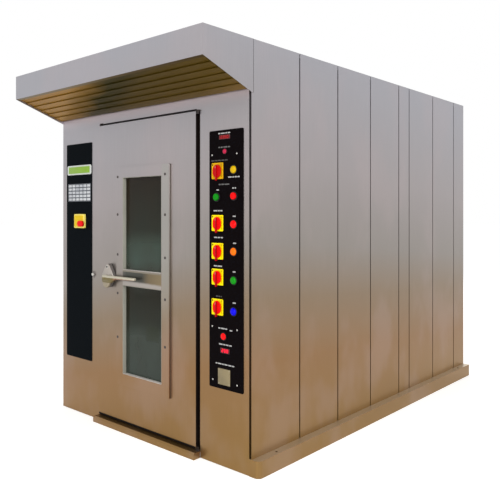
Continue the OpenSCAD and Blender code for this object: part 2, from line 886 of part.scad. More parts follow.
// A sheet panel seen from above, with folded edges where it meets its neighbours
module roof_panels() {
    color("#a8a6a6") in_frame() for (i = [0 : len(panel_joints) - 2]) {
        y0 = panel_joints[i] + (i > 0 ? 1 : 0);
        y1 = panel_joints[i + 1] - (i < len(panel_joints) - 2 ? 1 : 0);
        difference() {
            block([-skin_x, y0, roof_low - panel_fold], [skin_x, y1, cab_h]);
            block([-skin_x - 1, y0 + skin_t, roof_low - panel_fold - 1],
                [skin_x + 1, y1 - skin_t, roof_low]);
            roof_holes(roof_low - panel_fold - 1, cab_h + 1, pass_gap);
        }
    }
}

// Rear sheets round the hatch, on two posts, with the closed gland for the supply cable
module rear_panels() {
    post_w = 36;
    color("#9c9994") in_frame() {
        for (side = [-1, 1]) from_front(rear_y - skin_t, rear_y) difference() {
            rect([side > 0 ? hatch_x : -skin_x, plinth_h],
                [side > 0 ? skin_x : -hatch_x, roof_low - panel_fold]);
            translate([pipe_x, pipe_z]) circle(pipe_r + pass_gap);
        }
        from_front(rear_y - skin_t, rear_y)
            rect([2 - hatch_x, hatch_top], [hatch_x - 2, roof_low - panel_fold]);
        for (x = [-hatch_x, hatch_x] - [post_w, post_w] / 2)
            block([x, rear_y - skin_t - 30, plinth_h],
                [x + post_w, rear_y - skin_t, roof_low - panel_fold]);
        rod_y(gland_x, gland_z, rear_y - skin_t - 20, rear_y + 3, gland_r - 4);
        rod_y(gland_x, gland_z, rear_y - 1, rear_y + 3, gland_r);
        rod_y(gland_x, gland_z, rear_y, cab_d, gland_r - 6);
    }
}

// Removable rear panel with two columns of pressed louvres for the burner's air
module service_panel() {
    half = hatch_x - 4;
    low = plinth_h + 2;
    high = hatch_top - 4;
    rows = 14;
    louvre_w = 260;
    louvre_h = 26;
    pitch = 60;
    color("#a19e98") in_frame() {
        difference() {
            block([-half, rear_y - skin_t, low], [half, rear_y, high]);
            for (x = [-half / 2, half / 2], row = [0 : rows - 1])
                block([x - louvre_w / 2 + 2, rear_y - skin_t - 1, low + 110 + row * pitch],
                    [x + louvre_w / 2 - 2, rear_y + 1, low + 110 + row * pitch + louvre_h - 6]);
        }
        for (x = [-half / 2, half / 2], row = [0 : rows - 1])
            translate([0, rear_y, low + 110 + row * pitch])
                difference() {
                    from_side(x - louvre_w / 2, x + louvre_w / 2)
                        polygon([[0, -2], [rear_out, -2], [0, louvre_h]]);
                    from_side(x - louvre_w / 2 + 2, x + louvre_w / 2 - 2)
                        polygon([[-1, -3], [rear_out - 2, -3], [rear_out - 2, -1], [-1, louvre_h - 5]]);
                }
    }
}

// Front face with the doorway, cut out behind what is built into the two plates
module front_panel() {
    color("#9f948c") in_frame() {
        difference() {
            union() {
                from_front(0, skin_t) rect([-half_w, 2], [corner_x, roof_low - panel_fold]);
                block([corner_x - skin_t, 0, 2], [corner_x, panel_fold, roof_low - panel_fold]);
            }
            block([open_left, -1, -1], [open_right, skin_t + 1, open_top]);
            from_front(-1, skin_t + 1) {
                rect([plate_left + 20, plate_low + 20],
                    [plate_left + plate_w - 20, plate_low + plate_h - 20]);
                rect([unit_at[0] + 4, unit_at[1] - 12],
                    [unit_at[0] + unit_size[0] - 4, unit_at[1] + unit_size[1] + 12]);
            }
        }
    }
}

// One side's casing panels, each a sheet with folded upright edges
module side_panels() {
    for (i = [0 : len(panel_joints) - 2]) {
        y0 = panel_joints[i] + (i > 0 ? seam_gap / 2 : skin_t);
        y1 = panel_joints[i + 1] - (i < len(panel_joints) - 2 ? seam_gap / 2 : 0);
        difference() {
            union() {
                block([fold_x, y0, plinth_h], [half_w, y1, roof_low - panel_fold]);
                block([skin_x, y0, plinth_h], [half_w, y1, cab_h]);
            }
            block([fold_x - 1, y0 + (i > 0 ? skin_t : -1), plinth_h - 1],
                [skin_x, y1 - skin_t, cab_h + 1]);
        }
    }
}

module side_panels_left() {
    color("#9c938b") in_frame() mirror([1, 0, 0]) side_panels();
}

module side_panels_right() {
    color("#9c938b") in_frame() {
        side_panels();
        block([skin_x, 0, plinth_h], [half_w, skin_t, cab_h]);
    }
}

// Dark sealing strips in the grooves between the casing panels
module seam_strips() {
    color("#2e2628") in_frame() {
        both_sides() for (i = [1 : len(panel_joints) - 2])
            block([fold_x, panel_joints[i] - seam_gap / 2, plinth_h],
                [fold_x + 13, panel_joints[i] + seam_gap / 2, roof_low - panel_fold]);
        block([corner_x, panel_fold - 9, plinth_h], [skin_x, panel_fold, roof_low - panel_fold]);
    }
}

module hood_shell() {
    color("#a7a5a7") in_frame() {
        difference() {
            from_side(-half_w, half_w) polygon([
                [-hood_out, hood_low + hood_drop], [-hood_out, cab_h], [0, cab_h], [0, hood_low]
            ]);
            from_side(-half_w - 1, half_w + 1) polygon([
                [-hood_out + skin_t, hood_low + hood_drop - 60], [-hood_out + skin_t, cab_h - skin_t],
                [1, cab_h - skin_t], [1, hood_low - 60]
            ]);
            rod_z(hood_outlet_x, hood_outlet_y, cab_h - 10, cab_h + 1, hood_outlet_r - pipe_t);
        }
        both_sides() from_side(half_w, half_w + cheek_t) polygon([
            [-hood_out, hood_low + hood_drop], [-hood_out, cab_h], [cheek_lap, cab_h],
            [cheek_lap, hood_low], [0, hood_low]
        ]);
        translate([0, 0, hood_low]) rotate([-hood_slope, 0, 0])
            block([-half_w, -hood_slant + 2, 4], [half_w, -hood_slant + hood_lip, 6]);
    }
}

// Underside of lapped slats on four bars, drawn along the slope from the cabinet to the lip
module hood_slats() {
    run = hood_slant - hood_lip - 20;
    pitch = run / slat_count;
    color("#7d6340") in_frame() translate([0, 0, hood_low]) rotate([-hood_slope, 0, 0]) {
        for (x = [-half_w + slat_bar_inset, -half_w / 3, half_w / 3 - slat_bar_w,
                half_w - slat_bar_inset - slat_bar_w])
            block([x, -hood_slant + hood_lip + 2, slat_bar_z],
                [x + slat_bar_w, -14, slat_bar_z + slat_bar_h]);
        for (i = [0 : slat_count - 1])
            translate([-half_w, -18 - i * pitch, slat_bar_z]) rotate([slat_tilt, 0, 0])
                block([0, -pitch - slat_lap, -slat_t / 2], [cab_w, 0, slat_t / 2]);
    }
}

module exhaust_collars() {
    color("#9b9893") in_frame() {
        difference() {
            union() {
                rod_z(steam_x, steam_y, liner_top + liner_t, cab_h + collar_h, steam_r);
                rod_z(steam_x, steam_y, cab_h, cab_h + 3, steam_r + 30);
            }
            rod_z(steam_x, steam_y, liner_top, cab_h + collar_h + 1, steam_r - pipe_t);
        }
        difference() {
            union() {
                rod_z(hood_outlet_x, hood_outlet_y, cab_h, cab_h + hood_outlet_h, hood_outlet_r);
                rod_z(hood_outlet_x, hood_outlet_y, cab_h, cab_h + 3, hood_outlet_r + 25);
            }
            rod_z(hood_outlet_x, hood_outlet_y, cab_h - 1, cab_h + hood_outlet_h + 1,
                hood_outlet_r - pipe_t);
        }
    }
}

// Three-sided frame seen from the front between an outer and an inner outline
module three_sides(left, right, top, low, grow) {
    difference() {
        rect([left - grow, low], [right + grow, top + grow]);
        rect([left, low - 1], [right, top]);
    }
}

// The same frame as three plates, cut apart at its corners
module three_plates(left, right, top, low, grow) {
    rect([left - grow, low], [left, top - weld_gap]);
    rect([right, low], [right + grow, top - weld_gap]);
    rect([left - grow, top], [right + grow, top + grow]);
}

// Lining of the doorway, with the stop that the door's seal presses on, welded from plates
module door_jamb() {
    color("#9d978f") in_frame() {
        from_front(skin_t, stop_y - weld_gap)
            three_plates(open_left, open_right, open_top, floor_top, jamb_t);
        from_front(stop_y, stop_y + stop_t) {
            rect([open_left - jamb_t, floor_top], [stop_left, stop_top - weld_gap]);
            rect([stop_right, floor_top], [open_right + jamb_t, stop_top - weld_gap]);
            rect([open_left - jamb_t, stop_top], [open_right + jamb_t, open_top + jamb_t]);
        }
        from_front(stop_y + stop_t + weld_gap, front_wall - liner_t) difference() {
            three_plates(stop_left, stop_right, stop_top, floor_top, jamb_t);
            rect([stop_left - jamb_t - 1, latch_z - cam_len - cam_r + 6],
                [stop_left + 1, latch_z + 2 * cam_r]);
        }
    }
}

// Black seal in the gap round the door
module jamb_seal() {
    seal_y = 14;
    color("#1c1618") in_frame() {
        block([open_right - hinge_gap + 3, seal_y, sill_top + 2],
            [open_right, stop_y, open_top - door_gap - 20]);
        block([door_left, seal_y, open_top - door_gap + 1.5], [door_right, stop_y, open_top]);
    }
}

// Brackets with the pins that the door turns on
module hinge_brackets() {
    plate_h = 6;
    x0 = hinge_x - lug_r;
    color("#77736e") in_frame() {
        block([x0, -12, open_top - plate_h - 1], [open_right, 12, open_top - 1]);
        rod_z(hinge_x, hinge_y, door_top - lug_h + 2, open_top - plate_h - 1, hinge_pin_r);
        block([x0, -12, sill_top], [open_right, 12, door_low - 2]);
        rod_z(hinge_x, hinge_y, door_low - 2, door_low + lug_h - 4, hinge_pin_r);
    }
}

// Strike stud on its small plate beside the handle
module door_keeper() {
    color("#d0cec8") in_frame() {
        from_front(-3, 0) round_rect([keeper_x - 12, keeper_z - 22], [keeper_x + 12, keeper_z + 22], 6);
        rod_y(keeper_x, keeper_z, -8, -2, 6);
        rod_y(keeper_x, keeper_z, -14, -7, 10);
    }
}

module control_plates() {
    color("#17141a") in_frame() {
        from_front(-plate_t, 0) difference() {
            round_rect([plate_left, plate_low], [plate_left + plate_w, plate_low + plate_h], 9);
            for (at = switches) translate(at) circle(neck_r + 0.2);
            for (at = lamps) translate(at) circle(neck_r + 0.2);
            for (at = small_lamps) translate(at) circle(neck_r - 1.8);
            for (at = [start_at, stop_at]) translate(at) circle(button_r + 2.2);
        }
        from_front(-plate_t, 0) difference() {
            round_rect([side_plate_left, side_plate_low],
                [side_plate_left + side_plate_w, side_plate_low + side_plate_h], 9);
            rect(unit_at + [6, 6], unit_at + unit_size - [6, 6]);
        }
    }
}

// Selector switches: square plate in front, contact block behind
module selector_switches() {
    block_w = 44;
    corner = [switch_w, switch_w] / 2;
    color("#f2d800") in_frame() for (at = switches) difference() {
        union() {
            from_front(-plate_t - switch_t, -plate_t) round_rect(at - corner, at + corner, 6);
            rod_y(at[0], at[1], -plate_t, 0, neck_r);
            block([max(at[0] - block_w / 2, plate_left + 24), 0, at[1] - block_w / 2],
                [at[0] + block_w / 2, 52, at[1] + block_w / 2]);
        }
        rod_y(at[0], at[1], -plate_t - switch_t - 1, 30, 4 + run_gap);
    }
}

// Knob of one switch: oval base, finger ridge with its tail, and the stem
module selector(i) {
    base_y = -plate_t - switch_t - seat_gap;
    at = switches[i - 1];
    color("#e01018") in_frame() translate([at[0], 0, at[1]]) {
        from_front(base_y - knob_t, base_y) {
            rect([-knob_r, -9], [knob_r, 9]);
            translate([0, 9]) circle(knob_r);
            translate([0, -9]) circle(knob_r);
        }
        from_front(base_y - knob_t - ridge_t, base_y - knob_t) {
            rect([-ridge_r, -46], [ridge_r, 30]);
            translate([0, 30]) circle(ridge_r);
            translate([0, -46]) circle(ridge_r);
        }
        rod_y(0, 0, base_y - 1, 26, 4);
    }
}

module selector_1() { selector(1); }
module selector_2() { selector(2); }
module selector_3() { selector(3); }
module selector_4() { selector(4); }
module selector_5() { selector(5); }

// Bright rings of the lamps and of the two push buttons, with what holds them behind the plate
module lamp_rings() {
    color("#55555a") in_frame() {
        for (at = lamps) ring_body(at, ring_r, ring_r - 5, neck_r);
        for (at = small_lamps) ring_body(at, small_ring_r, small_ring_r - 4, neck_r - 2);
        for (at = [start_at, stop_at]) difference() {
            union() {
                rod_y(at[0], at[1], -plate_t - ring_t, -plate_t, ring_r);
                rod_y(at[0], at[1], -plate_t, 30, button_r + 2);
            }
            rod_y(at[0], at[1], -plate_t - ring_t - 1, 12, button_r + run_gap);
        }
    }
}

module ring_body(at, r, lens_r, neck) {
    difference() {
        rod_y(at[0], at[1], -plate_t - ring_t, -plate_t, r);
        rod_y(at[0], at[1], -plate_t - ring_t - 1, -plate_t - 2, lens_r);
    }
    rod_y(at[0], at[1], -plate_t - 2, 24, neck);
}

// Domed lenses, seated in their rings
module lamp_lenses() {
    color("#e8a000") in_frame() {
        for (at = lamps) lens(at, ring_r - 5, 10);
        for (at = small_lamps) lens(at, small_ring_r - 4, 6);
    }
}

// A round lens with a shallow dome of the given height
module lens(at, r, dome) {
    front = -plate_t - ring_t;
    rod_y(at[0], at[1], front, -plate_t - 2, r);
    translate([at[0], front, at[1]]) rotate([90, 0, 0])
        rotate_extrude() polygon([[0, 0], for (a = [0 : 15 : 90]) [r * cos(a), dome * sin(a)]]);
}

module push_button(at, shade) {
    front = -plate_t - ring_t;
    color(shade) in_frame()
        rod_y(at[0], at[1], front - button_travel - 3, 11 - button_travel, button_r);
}

module start_button() { push_button(start_at, "#12a018"); }
module stop_button() { push_button(stop_at, "#e01018"); }

// A thin plate with round corners, centred on the control plate's front
module face_plate(at, size, t) {
    from_front(-plate_t - t, -plate_t) round_rect(at - size / 2, at + size / 2, 2);
}

// Red figure displays
module displays() {
    color("#b01018") in_frame()
        for (i = [0 : 1]) face_plate(display_places[i], display_sizes[i], 2);
}

// Bare plates where the instructions are
module label_plates() {
    color("#b8b4a8") in_frame() {
        face_plate(label_at, label_size, 1);
        face_plate(note_at + note_size / 2, note_size, 1);
    }
}

// Process controller with a wide screen, let into the side plate
module controller_unit() {
    color("#cfd6b8") in_frame() {
        from_front(-plate_t - unit_t, -plate_t) difference() {
            round_rect(unit_at, unit_at + unit_size, 12);
            rect(unit_at + screen_inset, unit_at + unit_size - screen_inset);
        }
        from_front(-plate_t - unit_t / 2, -plate_t)
            rect(unit_at + screen_inset, unit_at + unit_size - screen_inset);
        from_front(-plate_t, 60) rect(unit_at + [6.2, 6.2], unit_at + unit_size - [6.2, 6.2]);
    }
}

// Starter's box with the guide of its red button
module starter_box() {
    color("#f2d800") in_frame() difference() {
        union() {
            from_front(-plate_t - box_step, -plate_t) round_rect(box_at, box_at + box_size, 8);
            from_front(-plate_t - box_depth, -plate_t - box_step)
                round_rect(box_at + [box_rim, box_rim], box_at + box_size - [box_rim, box_rim], 8);
        }
        rod_y(box_button_at[0], box_button_at[1], -plate_t - box_depth - 1, -plate_t - 2,
            stem_r + run_gap);
    }
}

// Wide palm button of the starter on its stem
module starter_button() {
    front = -plate_t - box_depth;
    head = front - button_travel - 1;
    color("#e01018") in_frame() translate([box_button_at[0], 0, box_button_at[1]]) {
        rod_y(0, 0, head - 1, front + 10, stem_r);
        from_front(head - 7, head) {
            rect([-head_reach, -head_r], [head_reach, head_r]);
            for (x = [-head_reach, head_reach]) translate([x, 0]) circle(head_r);
        }
    }
}

// Both window openings seen from the front, widened by grow
module windows(grow) {
    rect([window_left - grow, window_low - grow], [window_right + grow, window_rail_low + grow]);
    rect([window_left - grow, window_rail_high - grow], [window_right + grow, window_high + grow]);
}

// Hollow between the door's two pans, round the windows and the spindle's boss
module door_hollow() {
    difference() {
        rect([door_left + skin_t, door_low + skin_t], [door_right - skin_t, door_top - skin_t]);
        windows(rebate + skin_t);
        translate([latch_x, latch_z]) circle(boss_r);
    }
}

// Outer pan of the door, with the hinge lugs
module door_skin() {
    color("#9f948c") in_frame() difference() {
        union() {
            difference() {
                from_front(-door_proud, skin_back) rect([door_left, door_low], [door_right, door_top]);
                from_front(-door_proud + skin_t, skin_back + 1) door_hollow();
            }
            for (z = [door_low - 2 + seat_gap, door_top - lug_h]) {
                rod_z(hinge_x, hinge_y, z, z + lug_h, lug_r);
                block([door_right - 1, hinge_y - 5, max(z, door_low)],
                    [hinge_x, hinge_y + 5, min(z + lug_h, door_top)]);
            }
        }
        from_front(-door_proud - 1, glass_y + glass_t) windows(rebate);
        from_front(-door_proud - 1, skin_back + 1) windows(0);
        rod_y(latch_x, latch_z, -door_proud - 1, skin_back + 1, spindle_r + 1);
        for (z = [door_low - 3, door_top - lug_h - 1])
            rod_z(hinge_x, hinge_y, z, z + lug_h + 2, hinge_pin_r + run_gap);
    }
}

// Inner pan of the door
module door_liner() {
    color("#a5a39e") in_frame() difference() {
        from_front(skin_back, door_back) rect([door_left, door_low], [door_right, door_top]);
        from_front(skin_back - 1, door_back - skin_t) door_hollow();
        from_front(door_back - glass_t, door_back + 1) windows(rebate);
        from_front(skin_back - 1, door_back + 1) windows(0);
        rod_y(latch_x, latch_z, skin_back - 1, door_back + 1, spindle_r + 1);
    }
}

// Wool between the pans
module door_core() {
    color("#d8cf9a") in_frame() from_front(-door_proud + skin_t, door_back - skin_t) door_hollow();
}

// Raised plate with a lip round each window that clamps the outer pane
module window_frame() {
    color("#b0aaa2") in_frame() {
        from_front(-door_proud - frame_t, -door_proud) difference() {
            round_rect([window_left - frame_border, window_low - frame_border - 6],
                [window_right + frame_border, window_high + frame_border], 4);
            windows(0);
        }
        from_front(-door_proud - 1, glass_y) difference() {
            windows(rebate - seat_gap);
            windows(0);
        }
    }
}

module door_glass() {
    color("#3c443e", 0.5) in_frame() {
        from_front(glass_y, glass_y + glass_t) windows(rebate);
        from_front(door_back - glass_t, door_back) windows(rebate);
    }
}

// Bulb seal round the back of the door and the wiper under it
module door_gasket() {
    seal_w = 12;
    color("#1c1618") in_frame() {
        from_front(door_back, stop_y - seat_gap)
            three_sides(door_left + 2 + seal_w, door_right - 2 - seal_w, door_top - 2 - seal_w,
                door_low, seal_w);
        block([door_left + 20, door_back - 20, sill_top + seat_gap],
            [door_right - 20, door_back - 14, door_low]);
    }
}

// Cast base of the latch, screwed to the door, with four lobes round the spindle's hub
module handle_base() {
    side = base_w / 2 - lobe_r;
    end = base_h / 2 - lobe_r;
    web = [19, 12];
    color("#b8b4ae") in_frame() translate([latch_x, 0, latch_z]) difference() {
        union() {
            from_front(-door_proud - base_t, -door_proud) translate([0, base_rise]) {
                for (at = [[-side, 0], [side, 0], [0, -end], [0, end]]) translate(at) circle(lobe_r);
                polygon([
                    [-side - web[0], web[1]], [-web[0], end + web[1]],
                    [web[0], end + web[1]], [side + web[0], web[1]],
                    [side + web[0], -web[1]], [web[0], -end - web[1]],
                    [-web[0], -end - web[1]], [-side - web[0], -web[1]]
                ]);
            }
            rod_y(0, 0, -door_proud - base_t - hub_t, -door_proud - base_t + 1, 30);
        }
        rod_y(0, 0, -door_proud - base_t - hub_t - 1, -door_proud + 1, spindle_r + run_gap);
    }
}

// Lever with its spindle through the door and the cam behind the door stop
module latch_lever() {
    tip_r = lever_h / 2 - 2.5;
    head = 32;
    head_low = -30;
    chamfer = 8;
    root_x = 50;
    color("#c9c4b6") in_frame() translate([latch_x, 0, latch_z]) {
        from_front(lever_y - lever_t, lever_y) {
            polygon([
                [-head, lever_top], [lever_len - tip_r, lever_top],
                [lever_len - tip_r, lever_top - 2 * tip_r], [root_x, lever_top - lever_h],
                [head - chamfer, head_low], [chamfer - head, head_low],
                [-head, head_low + chamfer]
            ]);
            translate([lever_len - tip_r, lever_top - tip_r]) circle(tip_r);
        }
        rod_y(0, 0, lever_y - 1, cam_y + cam_t, spindle_r);
        from_front(cam_y, cam_y + cam_t) {
            circle(cam_r + 5);
            rect([-cam_r, -cam_len], [cam_r, 0]);
            translate([0, -cam_len]) circle(cam_r);
        }
    }
}

base_frame();
door_sill();
chamber_floor();
liner_walls();
liner_roof();
bulkhead();
supply_duct();
return_duct();
insulation();
combustion_chamber();
heat_exchanger();
burner();
flue_stack();
fan_deck();
fan_motor();
steam_cascade();
gearmotor();
pivot_bearing();
roof_panels();
rear_panels();
service_panel();
front_panel();
side_panels_left();
side_panels_right();
seam_strips();
hood_shell();
hood_slats();
exhaust_collars();
door_jamb();
jamb_seal();
hinge_brackets();
door_keeper();
control_plates();
selector_switches();
lamp_rings();
lamp_lenses();
displays();
label_plates();
controller_unit();
starter_box();
door_skin();
door_core();
door_liner();
window_frame();
door_glass();
door_gasket();
handle_base();
latch_lever();
selector_1();
selector_2();
selector_3();
selector_4();
selector_5();
start_button();
stop_button();
starter_button();
turntable();
carrier_frame();
fan_wheel();
flue_damper();
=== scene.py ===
# %% [markdown]
# # A rotating rack oven, dressed around its packed model
# The oven is a walk-in stainless cabinet: one tall door with two windows, a sloping steam hood over
# it, and two black control plates beside it. The construction is loaded as a fixed frame. This
# script gives every part its finish, and builds again the small parts that the eye stops at, such
# as knobs, lamps and the lever, with the roundings that a plain solid lacks. Lengths are metres,
# Z is up, the front looks along -Y, and the origin is on the floor below the middle of the oven.

# %% Load the frame
import json
import math
import random

import bmesh
import bpy
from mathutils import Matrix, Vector


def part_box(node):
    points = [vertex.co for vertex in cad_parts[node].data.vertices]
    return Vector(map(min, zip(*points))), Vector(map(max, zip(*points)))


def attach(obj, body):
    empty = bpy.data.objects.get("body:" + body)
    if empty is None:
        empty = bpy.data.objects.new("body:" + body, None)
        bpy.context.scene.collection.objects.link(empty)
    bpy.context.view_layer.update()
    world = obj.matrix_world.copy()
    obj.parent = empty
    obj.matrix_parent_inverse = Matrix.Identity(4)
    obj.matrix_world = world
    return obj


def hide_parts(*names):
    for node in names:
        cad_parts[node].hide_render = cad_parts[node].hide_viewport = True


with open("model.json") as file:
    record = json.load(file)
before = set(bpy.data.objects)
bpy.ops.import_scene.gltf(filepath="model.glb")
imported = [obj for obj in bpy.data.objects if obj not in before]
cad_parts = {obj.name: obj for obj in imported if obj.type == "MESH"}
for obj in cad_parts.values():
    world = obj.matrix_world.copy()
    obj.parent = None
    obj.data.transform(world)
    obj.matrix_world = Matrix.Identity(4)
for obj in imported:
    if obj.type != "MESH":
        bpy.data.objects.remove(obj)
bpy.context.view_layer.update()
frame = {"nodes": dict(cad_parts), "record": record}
nodes = frame["nodes"]
MM = 0.001

# %% [markdown]
# # Camera
# The picture looks at the right front corner from chest height, and all uprights stand upright in
# it. A tilted camera would let them converge, so this one is level, and the lens is shifted down
# instead. The horizon's row gives the shift.

# %% Camera
CAMERA_AT = (3.032, -3.620, 1.391)
CAMERA_TURN = 41.49
LENS_MM = 44.36
SENSOR_MM = 36
IMAGE_PX = 500
HORIZON_PX = 212
scene = bpy.context.scene
lens = bpy.data.cameras.new("camera")
lens.sensor_width = SENSOR_MM
lens.lens = LENS_MM
lens.shift_y = (HORIZON_PX - IMAGE_PX / 2) / IMAGE_PX
camera = bpy.data.objects.new("camera", lens)
camera.location = CAMERA_AT
camera.rotation_euler = (math.radians(90), 0, math.radians(CAMERA_TURN))
scene.collection.objects.link(camera)
scene.camera = camera
scene.view_settings.view_transform = "Standard"
print("camera shift:", round(lens.shift_y, 4))

# %% [markdown]
# # Shader arithmetic
# A finish is a small graph of nodes. Written node by node it fills pages, so two small classes take
# that over. Wire holds one output, and Python's own operators on it add Math nodes. Nodes adds any
# other node in one call: its kind, its settings, and the values or wires of its sockets.

# %% Colours and wires


def paint(red, green, blue):
    """A colour as a picture editor shows it, as the linear values that shaders take."""
    shares = [value / 255 for value in (red, green, blue)]
    return (*[s / 12.92 if s <= 0.04045 else ((s + 0.055) / 1.055) ** 2.4 for s in shares], 1)


class Wire:
    """A node's output. An operator on it adds the Math node that does the same."""

    def __init__(self, nodes, socket):
        self.nodes, self.socket = nodes, socket

    def math(self, operation, first, second):
        return self.nodes.add("Math", {"operation": operation}, {0: first, 1: second})

    def __add__(self, other):
        return self.math("ADD", self, other)

    def __sub__(self, other):
        return self.math("SUBTRACT", self, other)

    def __rsub__(self, other):
        return self.math("SUBTRACT", other, self)

    def __mul__(self, other):
        return self.math("MULTIPLY", self, other)

    def __truediv__(self, other):
        return self.math("DIVIDE", self, other)

    def __rtruediv__(self, other):
        return self.math("DIVIDE", other, self)

    __radd__ = __add__
    __rmul__ = __mul__

    def above(self, edge, softness):
        """0 below an edge and 1 above it, with a soft step between."""
        values = {"Value": self, "From Min": edge - softness, "From Max": edge + softness}
        return self.nodes.add("MapRange", {"interpolation_type": "SMOOTHSTEP"}, values)

    def between(self, edges, softness):
        """1 between two edges and 0 outside them, with soft steps."""
        return self.above(edges[0], softness) * (1 - self.above(edges[1], softness))


print("white as written:", [round(v, 2) for v in paint(255, 255, 255)])

# %% Nodes


class Nodes:
    """The nodes of one material, or of the world."""

    def __init__(self, owner):
        owner.use_nodes = True
        self.tree = owner.node_tree
        self.tree.nodes.clear()

    def add(self, kind, settings=None, values=None, out=0):
        """Adds a node: first its settings, then its sockets by name or number."""
        node = self.tree.nodes.new("ShaderNode" + kind)
        for name, value in (settings or {}).items():
            if name == "stops":
                self.set_stops(node.color_ramp, value)
            else:
                setattr(node, name, value)
        for socket, value in (values or {}).items():
            if isinstance(value, Wire):
                self.tree.links.new(value.socket, node.inputs[socket])
            else:
                node.inputs[socket].default_value = value
        return Wire(self, node.outputs[out]) if node.outputs else None

    def set_stops(self, ramp, stops):
        ramp.elements[0].position, ramp.elements[0].color = stops[0]
        ramp.elements[-1].position, ramp.elements[-1].color = stops[-1]
        for position, colour in stops[1:-1]:
            ramp.elements.new(position).color = colour

    def place(self):
        """The point on the piece, in metres; it stays with the piece when that moves."""
        return self.add("TexCoord", out="Object")

    def part(self, axis):
        return self.add("SeparateXYZ", values={0: self.place()}, out=axis)

    def facing_up(self):
        """1 on a face towards the sky, 0 on a wall, -1 on a face towards the ground."""
        return self.add("SeparateXYZ", values={0: self.add("NewGeometry", out="Normal")}, out=2)

    def noise(self, stretch, detail=2.0):
        """Noise from 0 to 1, with its number of blotches in a metre along X, Y and Z."""
        scaled = self.add("VectorMath", {"operation": "MULTIPLY"}, {0: self.place(), 1: stretch})
        return self.add("TexNoise", values={"Vector": scaled, "Scale": 1.0, "Detail": detail})

    def mix(self, first, second, share, blend="MIX"):
        settings = {"data_type": "RGBA", "blend_type": blend}
        return self.add("Mix", settings, {0: share, 6: first, 7: second}, out=2)

    def shaded(self, colour, brightness):
        """A colour times a number. The number becomes a grey, because Math would lose the colour."""
        grey = self.add("CombineXYZ", values={0: brightness, 1: brightness, 2: brightness})
        return self.mix(colour, grey, 1.0, "MULTIPLY")

    def ramp(self, share, tints):
        """A colour for each share from 0 to 1, between tints at given shares."""
        stops = [(position, paint(*tint)) for position, tint in tints]
        return self.add("ValToRGB", {"stops": stops}, {0: share})

    def bump(self, height, depth):
        return self.add("Bump", values={"Height": height, "Distance": depth})

    def show(self, colour, roughness, metallic=0.0, **more):
        """The surface itself. A socket's blank is written as an underscore."""
        values = {"Base Color": colour, "Roughness": roughness, "Metallic": metallic}
        values.update({name.replace("_", " "): value for name, value in more.items()})
        surface = self.add("BsdfPrincipled", values=values)
        self.add("OutputMaterial", values={"Surface": surface})


finishes = {}


def new_finish(name):
    """Files a material under its name, and gives its nodes to be filled."""
    finishes[name] = bpy.data.materials.new(name)
    return Nodes(finishes[name])


print("helpers:", [name for name in vars(Nodes) if not name.startswith("_")])

# %% [markdown]
# # Studio
# The light is plain: a dim world all round and large soft lamps, so a colour renders about as it is
# written. The white behind the oven isn't light. The world and the floor turn white only for
# rays from the camera, and for the rays in mirrors and glass, so steel shows a white room. A floor
# that was only white paint would need more lamps; a floor that only glows would lose the shadow.

# %% World and floor
ROOM_LIGHT = 0.66
FLOOR_GLOW = 0.45
FLOOR_PAINT = (0.86, 0.86, 0.86, 1)
FLOOR_HALF = 60
FLOOR_DROP = 0.0005
world = bpy.data.worlds.new("room")
scene.world = world


def seen_white(nodes):
    """1 for the rays that may show a white background, 0 for the rays that light the oven."""
    kinds = ("Camera", "Glossy", "Transmission")
    rays = [nodes.add("LightPath", out=f"Is {kind} Ray") for kind in kinds]
    return nodes.add("Math", {"operation": "MINIMUM"}, {0: rays[0] + rays[1] + rays[2], 1: 1.0})


room = Nodes(world)
level = ROOM_LIGHT + (1 - ROOM_LIGHT) * seen_white(room)
sky = room.add("Background", values={"Color": (1, 1, 1, 1), "Strength": level})
room.add("OutputWorld", values={"Surface": sky})

floor_finish = bpy.data.materials.new("floor_white")
floor_nodes = Nodes(floor_finish)
matt = floor_nodes.add("BsdfDiffuse", values={"Color": FLOOR_PAINT})
glow = floor_nodes.add("Emission", values={"Strength": seen_white(floor_nodes) * FLOOR_GLOW})
both = floor_nodes.add("AddShader", values={0: matt, 1: glow})
floor_nodes.add("OutputMaterial", values={"Surface": both})

floor_mesh = bpy.data.meshes.new("floor")
signs = ((-1, -1), (1, -1), (1, 1), (-1, 1))
corners = [(x * FLOOR_HALF, y * FLOOR_HALF, -FLOOR_DROP) for x, y in signs]
floor_mesh.from_pydata(corners, [], [(0, 1, 2, 3)])
floor_mesh.materials.append(floor_finish)
floor = bpy.data.objects.new("floor", floor_mesh)
scene.collection.objects.link(floor)
print("floor:", 2 * FLOOR_HALF, "m wide")

# %% Lamps
OVEN_MIDDLE = Vector((0, 0, 1.1))


def soft_lamp(name, turn, height, distance, size, power):
    """A square lamp aimed at the oven. A turn of 0 is in front of it, 90 on its right."""
    angle = math.radians(turn)
    data = bpy.data.lights.new(name, "AREA")
    data.size, data.energy = size, power
    lamp = bpy.data.objects.new(name, data)
    lamp.location = (distance * math.sin(angle), -distance * math.cos(angle), height)
    lamp.rotation_euler = (OVEN_MIDDLE - lamp.location).to_track_quat("-Z", "Y").to_euler()
    scene.collection.objects.link(lamp)
    return lamp


lamps = [
    soft_lamp("key_lamp", 48, 4.2, 7.5, 4.0, 300),
    soft_lamp("low_lamp", 20, 1.0, 7.0, 3.0, 90),
    soft_lamp("back_lamp", 215, 4.5, 8.0, 4.0, 170),
]
print("lamps:", [lamp.name for lamp in lamps])

# %% [markdown]
# # Casing sheet
# The cabinet is clad in ground stainless sheet. In the picture it is a cool grey above and a warm
# tan below, where it mirrors the ground, and that change is the strongest colour of the oven. A
# true mirror image would need that ground, so the tint is part of the colour here: a ramp over the
# height, which drops towards the left and a little towards the back. Over it lie faint cloudy
# blotches, a fine upright grain from the grinding belt, and a very shallow waviness, which makes
# thin sheet look like sheet.

